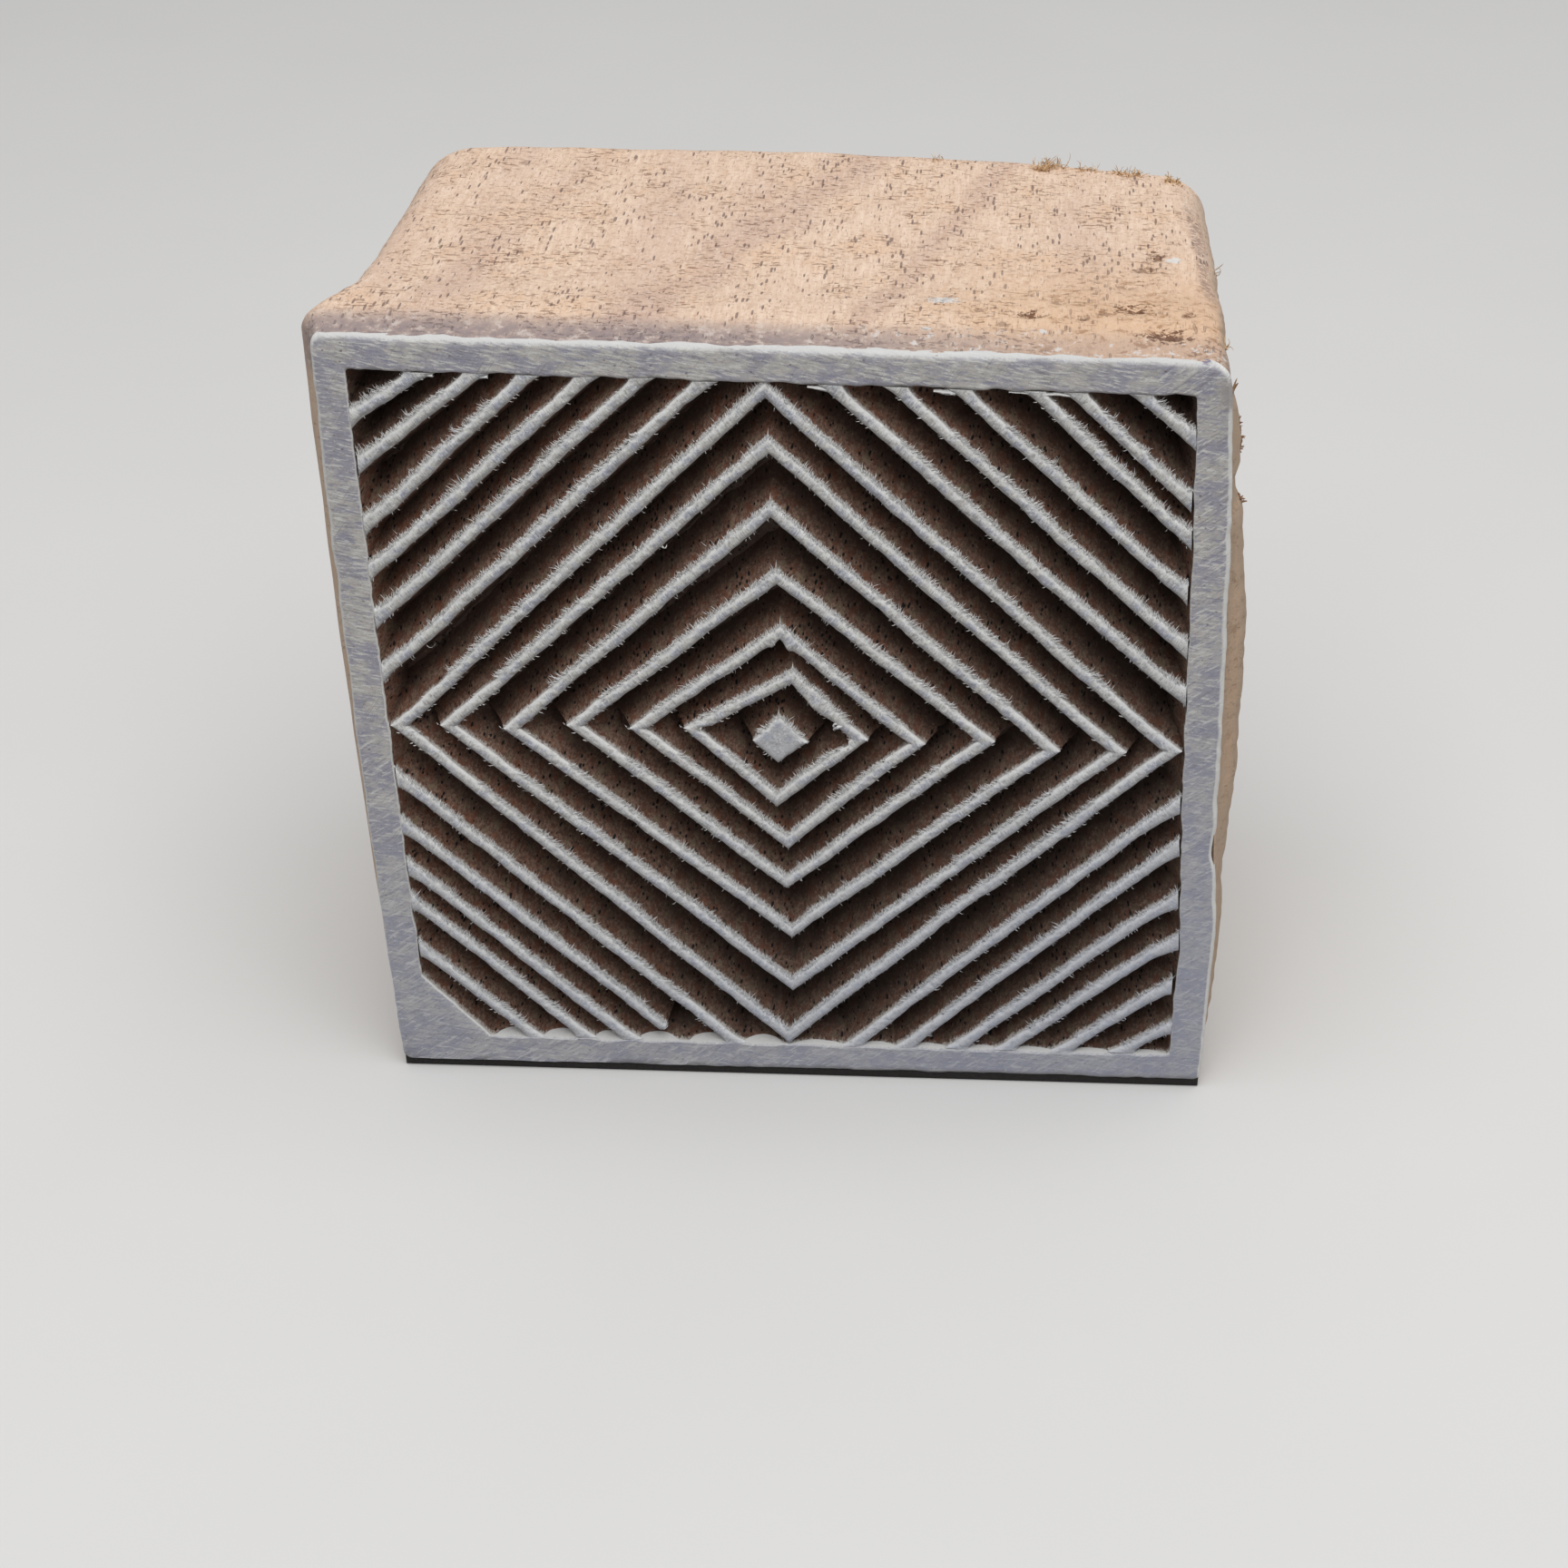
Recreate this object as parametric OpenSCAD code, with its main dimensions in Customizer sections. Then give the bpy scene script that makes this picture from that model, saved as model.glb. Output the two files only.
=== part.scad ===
// Hand-carved wooden textile printing block.
// It stands on its underside, with the printing face toward -Y and +Z up.
// The origin is on the underside, half way between the printing face and the back.
// One timber carries a carved pattern of nested diamonds; a chalk coat lies on every raised land.

/* [Printing face] */
// Width of the printing face
face_w = 64; // [50:0.5:90]
// Height of the printing face at its middle
face_h = 64; // [50:0.5:90]
// How far the face's lower edge stays above the ground
lip_h = 1; // [0.2:0.1:1.5]
// How much lower the top edge is at its right end than at its left end, from hand sawing
top_drop = 1.8; // [0:0.1:3]
// Width of the plain border around the pattern
border_w = 2.2; // [1.8:0.1:4]

/* [Carving] */
// Depth of the grooves below the printing face
groove_d = 4; // [2:0.1:6]
// Width of a raised line at the printing face
line_w = 1.1; // [0.8:0.05:1.4]
// How much a wall leans out on its way down to the groove floor
wall_lean = 0.4; // [0.1:0.05:0.6]
// Distance from the middle to each tip of the solid centre diamond
centre_r = 2.1; // [1.5:0.1:2.6]
// Sideways place of the pattern's middle on the face
pattern_x = -0.2; // [-1.5:0.1:1.5]
// Upright place of the pattern's middle on the face
pattern_z = -0.2; // [-1.5:0.1:1.5]
// Leg of the uncarved lower left corner, along the border
uncarved_leg = 5.4; // [3:0.1:7]

/* [Diamond tips, as shares of the way from the face's middle to the border] */
// Tips that point left, from the inner diamond outward
tip_left = [0.26, 0.39, 0.55, 0.72, 0.88, 1]; // [0:0.01:1]
// Tips that point right
tip_right = [0.22, 0.36, 0.53, 0.70, 0.86, 1]; // [0:0.01:1]
// Tips that point up
tip_top = [0.20, 0.32, 0.48, 0.66, 0.84, 1]; // [0:0.01:1]
// Tips that point down
tip_bottom = [0.22, 0.35, 0.48, 0.64, 0.81, 1]; // [0:0.01:1]

/* [Corner lines, as shares of the way from the border's middle to its corner] */
// Upper left lines on the top border, from the outer diamond to the corner
upper_left_across = [0.13, 0.28, 0.41, 0.55, 0.67, 0.80]; // [0:0.01:1]
// The same lines on the left border
upper_left_along = [0.15, 0.31, 0.44, 0.57, 0.73, 0.86]; // [0:0.01:1]
// Upper right lines on the top border
upper_right_across = [0.12, 0.28, 0.43, 0.60, 0.70, 0.85]; // [0:0.01:1]
// The same lines on the right border
upper_right_along = [0.14, 0.28, 0.43, 0.59, 0.69, 0.86]; // [0:0.01:1]
// Lower left lines on the bottom border
lower_left_across = [0.16, 0.31, 0.45, 0.57, 0.71]; // [0:0.01:1]
// The same lines on the left border
lower_left_along = [0.17, 0.32, 0.45, 0.56, 0.71]; // [0:0.01:1]
// Lower right lines on the bottom border
lower_right_across = [0.15, 0.29, 0.43, 0.56, 0.71, 0.87]; // [0:0.01:1]
// The same lines on the right border
lower_right_along = [0.17, 0.31, 0.47, 0.61, 0.76, 0.90]; // [0:0.01:1]

/* [Chalk coat] */
// Thickness of the chalk coat on the raised lands
coat_t = 0.25; // [0.1:0.05:0.5]
// Width of the knife nick that parts a line's coat from the border's coat
nick_w = 0.2; // [0.1:0.05:0.4]

/* [Timber] */
// Depth from the printing face to the back, at the middle
depth = 39.5; // [28:0.5:50]
// How much shallower the block is at its right side than at its left side, from hand sawing
back_skew = 2.5; // [0:0.1:4]
// How far the left side swells past the face's edge, just behind it
left_flare = 1.6; // [0:0.1:2.5]
// How far the right side swells
right_flare = 0.9; // [0:0.1:2.5]
// How far the left side draws in at the neck, from the face's edge
left_neck = 0.4; // [0:0.1:2]
// How far the right side draws in
right_neck = 0.2; // [0:0.1:2]
// How much further each side draws in from the neck to the back
side_taper = 0.3; // [0:0.1:3]
// How far the top swells past the face's edge, just behind it
top_flare = 0.4; // [0:0.1:1.5]
// How far the top draws in at the neck, from the face's edge
top_neck = 0.3; // [0:0.1:2]
// How much further the top draws in from the neck to the back
top_taper = 0.3; // [0:0.1:3]
// Distance from the face to the widest part of the flare
flare_y = 4.5; // [2:0.1:6]
// Distance from the face to the neck of the top
neck_y = 14; // [10:0.5:20]
// Distance from the face to the neck of the left and right sides
side_neck_y = 10.5; // [8:0.5:20]
// Radius of the long edges at the printing face
front_edge_r = 0.5; // [0.3:0.1:1.5]
// Radius of the long edges at the back
back_edge_r = 4; // [2:0.5:8]
// Rounding between the sides and the back
back_r = 3.5; // [2:0.5:7]

/* [Hidden] */
// Sections in each stretch of the timber, and points in each rounded corner
flare_steps = 3;
neck_steps = 5;
grip_steps = 3;
round_steps = 5;
corner_steps = 4;
// How far a cutting shape reaches past the surface that it cuts
overcut = 1;

open_w = face_w / 2 - border_w;
open_h = face_h / 2 - border_w;
mid_z = lip_h + face_h / 2;
top_z = lip_h + face_h;
diamonds = len(tip_left);

CORNERS = [
    ["upper_left", -1, 1, upper_left_across, upper_left_along],
    ["upper_right", 1, 1, upper_right_across, upper_right_along],
    ["lower_left", -1, -1, lower_left_across, lower_left_along],
    ["lower_right", 1, -1, lower_right_across, lower_right_along]
];

function diamond_name(k) = str("diamond_", k + 1, "_coat");
function line_name(corner, k) = str(corner[0], "_line_", k + 1, "_coat");

// Out-of-square hand work: the top edge slopes down to the right and the right side is shallower
function sawn(p) =
    let (back_share = max(0, (p.y - neck_y) / (depth - neck_y)))
    [p.x,
     p.y - back_skew * p.x / face_w * back_share,
     p.z * (1 - top_drop * p.x / (face_w * top_z))];

// A point of the face plan, measured from the face's middle, at a depth behind the face
function on_face(p, y) = sawn([p.x, y, mid_z + p.y]);
function on_plan(p) = let (q = on_face(p, 0)) [q.x, q.z];

// How far a wall has leaned out at a depth behind the lands
function lean(y) = wall_lean * (y - coat_t) / (groove_d - coat_t);

// Plans of the raised lands, each grown by a margin

function diamond_plan(tips, grow) =
    let (reach = (tips[0] + tips[1] + tips[2] + tips[3]) / 4, size = 1 + grow * sqrt(2) / reach)
    [[pattern_x - tips[0] * size, pattern_z],
     [pattern_x, pattern_z - tips[3] * size],
     [pattern_x + tips[2] * size, pattern_z],
     [pattern_x, pattern_z + tips[1] * size]];

// The outer diamond's tips stop a nick short of the border, the inner ones where the carver put them
function diamond_tips(k) =
    [min(tip_left[k] * open_w, open_w - nick_w) + pattern_x,
     min(tip_top[k] * open_h, open_h - nick_w) - pattern_z,
     min(tip_right[k] * open_w, open_w - nick_w) - pattern_x,
     min(tip_bottom[k] * open_h, open_h - nick_w) + pattern_z];

function centre_tips() = [centre_r, centre_r, centre_r, centre_r];

// A corner line's plan: it runs from the top or bottom border to a side border, and its ends are
// cut along those borders, a distance past the opening's edge (short of it where negative)
function line_plan(corner, k, grow, past) =
    let (a = [corner[1] * corner[3][k] * open_w, corner[2] * open_h],
         b = [corner[1] * open_w, corner[2] * corner[4][k] * open_h],
         d = (b - a) / norm(b - a),
         n = [d.y, -d.x],
         half = line_w / 2 + grow,
         end_y = corner[2] * (open_h + past),
         end_x = corner[1] * (open_w + past),
         left = a + n * half,
         right = a - n * half)
    [left + d * (end_y - left.y) / d.y,
     left + d * (end_x - left.x) / d.x,
     right + d * (end_x - right.x) / d.x,
     right + d * (end_y - right.y) / d.y];

function rectangle(half_w, half_h) =
    [[-half_w, -half_h], [half_w, -half_h], [half_w, half_h], [-half_w, half_h]];

// The uncarved corner: a right angle at the corner, reaching past the opening's edge
function uncarved_plan(grow, past) =
    let (leg = uncarved_leg + grow * sqrt(2) + 2 * past, x = -open_w - past, y = -open_h - past)
    [[x, y], [x + leg, y], [x, y + leg]];

// Closed solids skinned from front to back over loops of equally many points, which run
// counterclockwise as seen from the front; a ring joins its last loop to its first

module skin(loops, ring = false) {
    count = len(loops[0]);
    spans = ring ? len(loops) : len(loops) - 1;
    total = len(loops) * count;
    walls = [for (i = [0 : spans - 1]) for (j = [0 : count - 1])
        let (a = i * count, b = (i + 1) * count % total, next = (j + 1) % count)
        [a + j, a + next, b + next, b + j]];
    caps = ring ? [] : [
        [for (j = [count - 1 : -1 : 0]) j],
        [for (j = [0 : count - 1]) total - count + j]
    ];
    polyhedron([for (loop = loops) each loop], concat(caps, walls));
}

function face_loop(plan, y) = [for (p = plan) on_face(p, y)];

// Depths between which a raised shape is cut: in front of the timber and below the groove floor
CUT = [coat_t - overcut, groove_d + overcut];

module raised_diamond(tips) {
    skin([for (y = CUT) face_loop(diamond_plan(tips, lean(y)), y)]);
}

module raised_ring(tips) {
    outer = [for (y = CUT) face_loop(diamond_plan(tips, lean(y)), y)];
    inner = [for (y = CUT) face_loop(diamond_plan(tips, -line_w - lean(y)), y)];
    skin([outer[0], outer[1], inner[1], inner[0]], ring = true);
}

module raised_line(corner, k) {
    skin([for (y = CUT) face_loop(line_plan(corner, k, lean(y), border_w / 2), y)]);
}

module raised_corner() {
    skin([for (y = CUT) face_loop(uncarved_plan(lean(y), border_w / 2), y)]);
}

module recess() {
    depths = [coat_t - overcut, groove_d];
    skin([for (y = depths) face_loop(rectangle(open_w - lean(y), open_h - lean(y)), y)]);
}

module carved_away() {
    difference() {
        recess();
        raised_diamond(centre_tips());
        for (k = [0 : diamonds - 1]) raised_ring(diamond_tips(k));
        for (c = CORNERS) for (k = [0 : len(c[3]) - 1]) raised_line(c, k);
        raised_corner();
    }
}

// The uncut timber, skinned over rounded sections from the face to the back

function ease(t) = (1 - cos(180 * t)) / 2;

function swell(y, flare, neck, taper, neck_at) =
    y < flare_y ? flare * sin(90 * (y - coat_t) / (flare_y - coat_t))
    : y < neck_at ? flare - (flare + neck) * ease((y - flare_y) / (neck_at - flare_y))
    : -neck - taper * (y - neck_at) / (depth - neck_at);

function back_inset(y) =
    let (t = max(0, (y - depth + back_r) / back_r))
    back_r * (1 - sqrt(1 - min(1, t * t)));

function underside(y) = y < flare_y ? lip_h * (1 - sin(90 * (y - coat_t) / (flare_y - coat_t))) : 0;

function edge_r(y) = front_edge_r + (back_edge_r - front_edge_r) * y / depth;

function section(y) =
    let (left = -face_w / 2 - swell(y, left_flare, left_neck, side_taper, side_neck_y) + back_inset(y),
         right = face_w / 2 + swell(y, right_flare, right_neck, side_taper, side_neck_y) - back_inset(y),
         low = underside(y) + back_inset(y),
         high = top_z + swell(y, top_flare, top_neck, top_taper, neck_y) - back_inset(y),
         r = edge_r(y),
         centres = [[right - r, high - r, 0], [left + r, high - r, 90],
                    [left + r, low + r, 180], [right - r, low + r, 270]])
    [for (c = centres) for (i = [0 : corner_steps])
        let (a = c[2] + 90 * i / corner_steps)
        sawn([c[0] + r * cos(a), y, c[1] + r * sin(a)])];

STATIONS = concat(
    [for (i = [0 : flare_steps - 1]) coat_t + (flare_y - coat_t) * i / flare_steps],
    [for (i = [0 : neck_steps - 1]) flare_y + (neck_y - flare_y) * i / neck_steps],
    [for (i = [0 : grip_steps - 1]) neck_y + (depth - back_r - neck_y) * i / grip_steps],
    [for (i = [0 : round_steps]) depth - back_r + back_r * sin(90 * i / round_steps)]
);

module blank() {
    skin([for (y = STATIONS) section(y)]);
}

// Moves the face's own frame, with the printing face at y = 0, to the part's origin
module placed() {
    translate([0, -depth / 2, 0]) children();
}

// The chalk coat over a plan, from the printing face down to the timber
module coat_plate() {
    translate([0, coat_t, 0]) rotate([90, 0, 0]) linear_extrude(coat_t) children();
}

module plan_shape(plan) {
    polygon([for (p = plan) on_plan(p)]);
}

module wood_block() {
    color("burlywood") placed() difference() {
        blank();
        carved_away();
    }
}

module border_coat() {
    color("lightgray") placed() coat_plate() {
        difference() {
            polygon([for (p = section(coat_t)) [p.x, p.z]]);
            plan_shape(rectangle(open_w, open_h));
        }
        plan_shape(uncarved_plan(0, border_w / 2));
    }
}

module centre_diamond_coat() {
    color("lightgray") placed() coat_plate() plan_shape(diamond_plan(centre_tips(), 0));
}

module diamond_coat(k) {
    color("lightgray") placed() coat_plate() difference() {
        plan_shape(diamond_plan(diamond_tips(k), 0));
        plan_shape(diamond_plan(diamond_tips(k), -line_w));
    }
}

module line_coat(corner, k) {
    color("lightgray") placed() coat_plate() plan_shape(line_plan(corner, k, 0, -nick_w));
}

wood_block();
border_coat();
centre_diamond_coat();
for (k = [0 : diamonds - 1]) diamond_coat(k);
for (c = CORNERS) for (k = [0 : len(c[3]) - 1]) line_coat(c, k);
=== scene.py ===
import math
import random
import bmesh
import bpy
from mathutils import Matrix, Vector, noise


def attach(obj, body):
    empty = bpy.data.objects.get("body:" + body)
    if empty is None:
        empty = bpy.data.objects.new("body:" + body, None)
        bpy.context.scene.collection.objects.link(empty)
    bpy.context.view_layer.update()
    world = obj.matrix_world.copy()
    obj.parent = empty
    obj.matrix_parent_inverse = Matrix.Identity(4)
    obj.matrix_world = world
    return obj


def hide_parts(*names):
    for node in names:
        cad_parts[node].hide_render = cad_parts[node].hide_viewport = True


# Wooden textile printing block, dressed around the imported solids.
# Lengths are in millimetres, which MM turns into metres.
# On the face, x runs to the right and v up from the face's middle; y is the depth behind the face.
# A list of wavers gives each one's height, seed and size.

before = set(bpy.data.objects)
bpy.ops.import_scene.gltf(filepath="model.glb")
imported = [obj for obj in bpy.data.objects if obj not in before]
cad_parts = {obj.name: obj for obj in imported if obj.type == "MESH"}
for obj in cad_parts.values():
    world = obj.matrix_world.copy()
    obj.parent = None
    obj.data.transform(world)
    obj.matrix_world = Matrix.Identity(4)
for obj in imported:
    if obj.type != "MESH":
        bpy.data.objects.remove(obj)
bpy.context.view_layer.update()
MM = 0.001

# Printing face, as in the solids
FACE_W = 64
FACE_H = 64
HALF_W = FACE_W / 2
LIP_H = 1
TOP_DROP = 1.8
MID_Z = LIP_H + FACE_H / 2
TOP_Z = LIP_H + FACE_H
COAT_T = 0.25

# The chalked face's edges, its corners' radii from the upper right one on, and the foot below the chalk,
# which the timber's material paints near black as shadow
EDGE_LEFT = -32.4
EDGE_RIGHT = 32.0
EDGE_TOP = 31.9
EDGE_BOTTOM = -32.3
EDGE_WAVER = [(0.1, 61, 3.1), (0.05, 63, 0.9)]
EDGE_RADII = (1.6, 0.9, 0.45, 0.45)
LEAST_R = 0.15
FOOT_V = -32.92
FOOT_TOP = -32.0
SCRIBE_Z = 3.34

# Bows of the face's sides: growth, widest v, reach along v, power, and the strip of x where they grow
RIGHT_BOW = (0.7, -4, 36, 4, 28, 32)
LEFT_BOW = (0.42, -2, 33, 3, -27.6, -32.4)
# They fade behind the face; the right side also has a swell and a dent
BOW_Y = (12, 3)
LOW_SWELL = 0.4
LOW_SWELL_X = (28, 30)
LOW_SWELL_V = -17.5
LOW_SWELL_REACH = 7.5
EDGE_DENT = 0.22
EDGE_DENT_X = 30
EDGE_DENT_V = -9.8
EDGE_DENT_REACH = 1.4

# The carved opening's edges and its uncarved lower left corner
OPEN_LEFT = -30.0
OPEN_RIGHT = 29.7
OPEN_TOP = 29.3
OPEN_BOTTOM = -29.7
OPEN_R = 0.25
OPEN_WAVER = [(0.13, 71, 2.3), (0.05, 73, 0.6)]
OPEN_TOP_WAVER = [(0.12, 79, 1.2)]
OPEN_TOP_V = 28
WEDGE_UP = 5.9
WEDGE_ALONG = 4.9
WEDGE_GROW = 0.4

# Tips of the centre land and of the diamonds, from the inner one out: left, bottom, right, top
CENTRE_TIPS = [(-2.4, -0.7), (-0.5, -2.6), (1.8, -0.6), (-0.3, 1.6)]
DIAMONDS = [
    [(-7.6, 0.3), (-0.7, -6.6), (6.4, -0.3), (0.9, 5.7)],
    [(-11.7, 0.2), (0, -10.4), (10.7, -0.5), (0, 9.5)],
    [(-16.5, 0.3), (-0.2, -14.3), (15.9, -0.1), (0, 14.2)],
    [(-21.4, -0.2), (0, -19.1), (20.8, -0.7), (-0.2, 19.7)],
    [(-26.2, 0), (-0.1, -24.3), (25.7, -0.8), (-0.2, 24.9)],
    [(-29.9, -0.2), (-0.6, -29.6), (29.6, -0.5), (-0.3, 29.3)]
]
LOW_TIP_X = DIAMONDS[-1][1][0]
LINE_W = 0.86

# Corner lines as shares of the way from the border's middle to its corner, as in the solids
CORNER_LINES = {
    "upper_left": (-1, 1, [0.13, 0.28, 0.41, 0.55, 0.67, 0.8], [0.15, 0.31, 0.44, 0.57, 0.73, 0.86]),
    "upper_right": (1, 1, [0.12, 0.28, 0.43, 0.6, 0.7, 0.85], [0.14, 0.28, 0.43, 0.59, 0.69, 0.86]),
    "lower_left": (-1, -1, [0.16, 0.31, 0.45, 0.57, 0.71], [0.17, 0.32, 0.45, 0.56, 0.71]),
    "lower_right": (1, -1, [0.15, 0.29, 0.43, 0.56, 0.71, 0.87], [0.17, 0.31, 0.47, 0.61, 0.76, 0.9]),
}
SHARE_W = 29.8
SHARE_H = 29.8
# Gaps between line ends and the border, the wider line ends, and the one short line
RIGHT_NICK = 0.147
LEFT_NICK = 0.084
ODD_NICK = 0.5
END_NICK = 0.03
END_FLARE = 0.45
END_FLARE_REACH = 0.5
SHORT_LINE = ("lower_left", 1)
SHORT_BY = 1.2
# Feet where a line meets the top border: start x, end x, v, half width
FEET = {("upper_right", 0): (2.7, 4.2, 28.9, 0.22), ("upper_right", 2): (11.6, 13.1, 28.9, 0.2),
        ("upper_right", 3): (16.7, 21.2, 29.0, 0.14), ("upper_left", 4): (-21.6, -19.9, 29.0, 0.18),
        ("upper_left", 5): (-25.6, -23.8, 29.0, 0.16)}
FOOT_THIN = 0.35
FOOT_SUNK = 0.04

# Line ends along the bottom border; between them the grooves run out on a chalked slope
BOTTOM_ENDS = [OPEN_LEFT + WEDGE_ALONG, LOW_TIP_X, OPEN_RIGHT]
BOTTOM_ENDS += [-SHARE_W * share for share in CORNER_LINES["lower_left"][2]]
BOTTOM_ENDS += [SHARE_W * share for share in CORNER_LINES["lower_right"][2]]
BOTTOM_ENDS.sort()
END_HALF = 0.5
SCOOP_V = -28
SCOOP_ROUND = 0.7
SCOOP_RIGHT = 0.45
SCOOP_OUT = 0.15
SCOOP_UP = 0.5
SCOOP_DEEP = 2.4
SCOOP_SEAT = 0.12

# How a cut edge strays: off its place, by the knife, and by frayed chalk on upper edges
STRAY = 0.14
STRAY_LONG = 7
STRAY_SHORT = 2.6
STRAY_SHORT_SHARE = 0.35
KNIFE_WAVER = [(0.08, 0, 1.9), (0.07, 0, 0.7)]
FRAYED = 0.13
FRAYED_SIZE = 0.23
FACES_UP = 0.2
# Chips and burrs on the lands' edges: x, v, reach, growth
CHIPS = [(3.5, 0.8, 0.4, -0.4), (4.4, -0.7, 0.35, -0.4), (-5.9, 0.5, 0.35, -0.35), (0.6, 7.75, 0.42, 0.4),
         (-0.5, 7.9, 0.3, 0.22), (-5.6, 27.0, 0.6, -0.2), (9.5, 13.0, 0.5, -0.15), (-12.0, -8.4, 0.6, -0.15),
         (2.4, 2.3, 1.4, 0.24)]
# Curled flakes of chalk: x, v, turn in degrees, length, radius
CURLS = {
    "diamond_1_coat": [(4.7, 0.6, 120, 1.1, 0.2), (4.3, 1.1, 150, 0.7, 0.14), (5.1, -0.75, 190, 0.6, 0.12),
                       (-6.5, 0.3, 330, 0.45, 0.12)],
    "diamond_5_coat": [(-8.3, 16.0, 290, 0.5, 0.07)],
    "diamond_6_coat": [(-28.0, -1.0, 40, 0.7, 0.05), (-27.8, -1.1, 60, 0.8, 0.04),
                       (-28.1, -0.9, 100, 0.6, 0.04)],
    "upper_left_line_1_coat": [(-26.6, 7.3, 270, 1.0, 0.025)],
}
CURL_STEPS = 5
CURL_TURN = 150
CURL_Y = 0.3
CURL_LIFT = 0.28
# Thorns at the diamonds' tips: length, depth of the end
UP_SPIKE = (0.6, 0.7)
LEFT_SPIKE = (0.4, 0.5)
SPIKE_ROOT = 0.2
SPIKE_R = 0.05
# White hairs on the lands' edges
HAIR_COUNT = (3, 7)
LOW_HAIR_SHARE = 0.2
HAIR_REACH = 0.08
HAIR_MORE = 0.17
LONG_HAIR = 0.6
LOW_LONG_HAIR = 0.2
HAIR_Y = (0.02, 0.3)
HAIR_DROOP = 0.1
HAIR_ROOT = 0.05
HAIR_SPREAD = 0.09
HAIR_SWAY = 0.7
HAIR_R = (0.022, 0.044)
NEEDLE_TAPER = 0.7

# Sections: the coat's edge (inset, depth) and middle (share, depth), a carved wall (depth, lean)
COAT_EDGE = [(0.0, 0.25), (0.0, 0.2), (0.03, 0.14), (0.1, 0.085), (0.22, 0.04)]
COAT_MIDDLE = [(0.38, 0.01), (0.5, 0), (0.62, 0.01)]
COAT_SIDE_Y = 0.12
CENTRE_SHARES = (0.35, 0.6, 0.85)
CENTRE_DRAWN_IN = 0.9
CENTRE_LEAN = 1.2
CENTRE_Y = 0.02
WALL = [(0.2, -0.03), (0.34, 0.0), (0.7, 0.07), (1.2, 0.2), (1.9, 0.42), (2.7, 0.72), (3.5, 1.05),
        (4.6, 1.55)]
RIDGE_ROUGH = 0.12
RIDGE_ROUGH_Y = 1.5
WALL_ROUGH = 0.08
# The border's outer edge and inner edge (inset, depth), and the shares of the way between them
BORDER_OUT = [(0.3, 0.3), (0.2, 0.6), (0.0, 0.64), (0.0, 0.5), (0.05, 0.33), (0.15, 0.15), (0.28, 0.04),
              (0.38, 0.0)]
BORDER_IN = [(0.16, 0.0), (0.05, 0.05), (0.0, 0.14), (0.0, 0.25)]
BORDER_SHARES = (0.3, 0.45, 0.6, 0.75, 0.88)
BORDER_WORN = 0.03
WRAP = 0.9
WRAP_WAVER = [(0.6, 65, 2.4), (0.3, 67, 0.8)]

# Groove floor
FLOOR_Y = 4.0
FLOOR_WAVER = [(0.3, 3, 2.2), (0.12, 8, 0.9)]
FLOOR_INSET = 0.95
FLOOR_MIDDLE = Vector((-0.2, -0.2))

# How finely the meshes are divided
STEP = 0.16
SIDE_COUNT = 200
CORNER_STEPS = [i / 13 for i in range(14)]
FLOOR_RINGS = 62
BACK_RINGS = 34
BACK_STEPS = 14
FIRST_STATIONS = [0.75, 1.1, 1.5]
STATION_STEP = 0.5
STATION_GAP = 0.4

# Timber, as in the solids
DEPTH = 39.5
BACK_SKEW = 2.5
BACK_BOW = 0.8
BACK_BOW_MIDDLE = 0.6
TOP_FLARE = 0.4
NECK_Y = 14
# The sides and the top: neck, taper, depth of the flare, depth of the neck
LEFT_SIDE = (0.4, 0.1, 3, 10.5)
RIGHT_SIDE = (0.2, 0.4, 4.5, 10.5)
TOP_SIDE = (0.3, 0.3, 4.5, NECK_Y)
FRONT_EDGE_R = 1.2
BACK_EDGE_R = 4.5
EDGE_LEAST_R = 0.4
EDGE_MOST_SHARE = 0.4
EDGE_DRAWN_IN = 0.3
RIGHT_EDGE_SHARE = 0.8
BACK_R = 3.5
BACK_DROP = 0.7
# The sides' flares and how they change with the height: change, v where it starts, v where it ends
LEFT_FLARE = 1.26
LEFT_CHANGES = [(0.14, -16, 8), (0.2, 16, 28), (-0.4, -22, -30)]
RIGHT_FLARE = 0.5
RIGHT_CHANGES = [(1, -15, -3), (-0.5, 8, 20), (-1.2, 24, 30), (-0.15, 20, 22), (-0.3, -24, -30)]
FLARE_NICK = 0.5
FLARE_NICK_V = 20.5
FLARE_NICK_REACH = 1.5
# Rows over the lip behind the chalk: inset, depth at the foot, depth elsewhere
LIP_ROWS = [(0.2, 0.2, 0.2), (0.1, 0.15, 0.45), (0.05, 0.2, 0.5)]
LIP_Y = (0.75, 3.25)

# Unevenness of the timber: the rasp's, from the lip back, the torn corner's and the saw's
BARE_Y = (0.8, 3.8)
TIMBER_WAVER = [(0.2, 15), (0.1, 4)]
RASP = 0.07
RASP_LONG = 3.2
RASP_PITCH = 0.9
TORN = 0.14
TORN_SIZE = 1.1
TORN_X = (8, 24)
TORN_Y = (26, 14)
FLAT_UNDER = (-0.7, -0.2)
SAW_WAVER = [(0.12, 90, 6)]
SAW = 0.1
SAW_LONG = 12
SAW_PITCH = 0.9
SAW_FADE = 4

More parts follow.
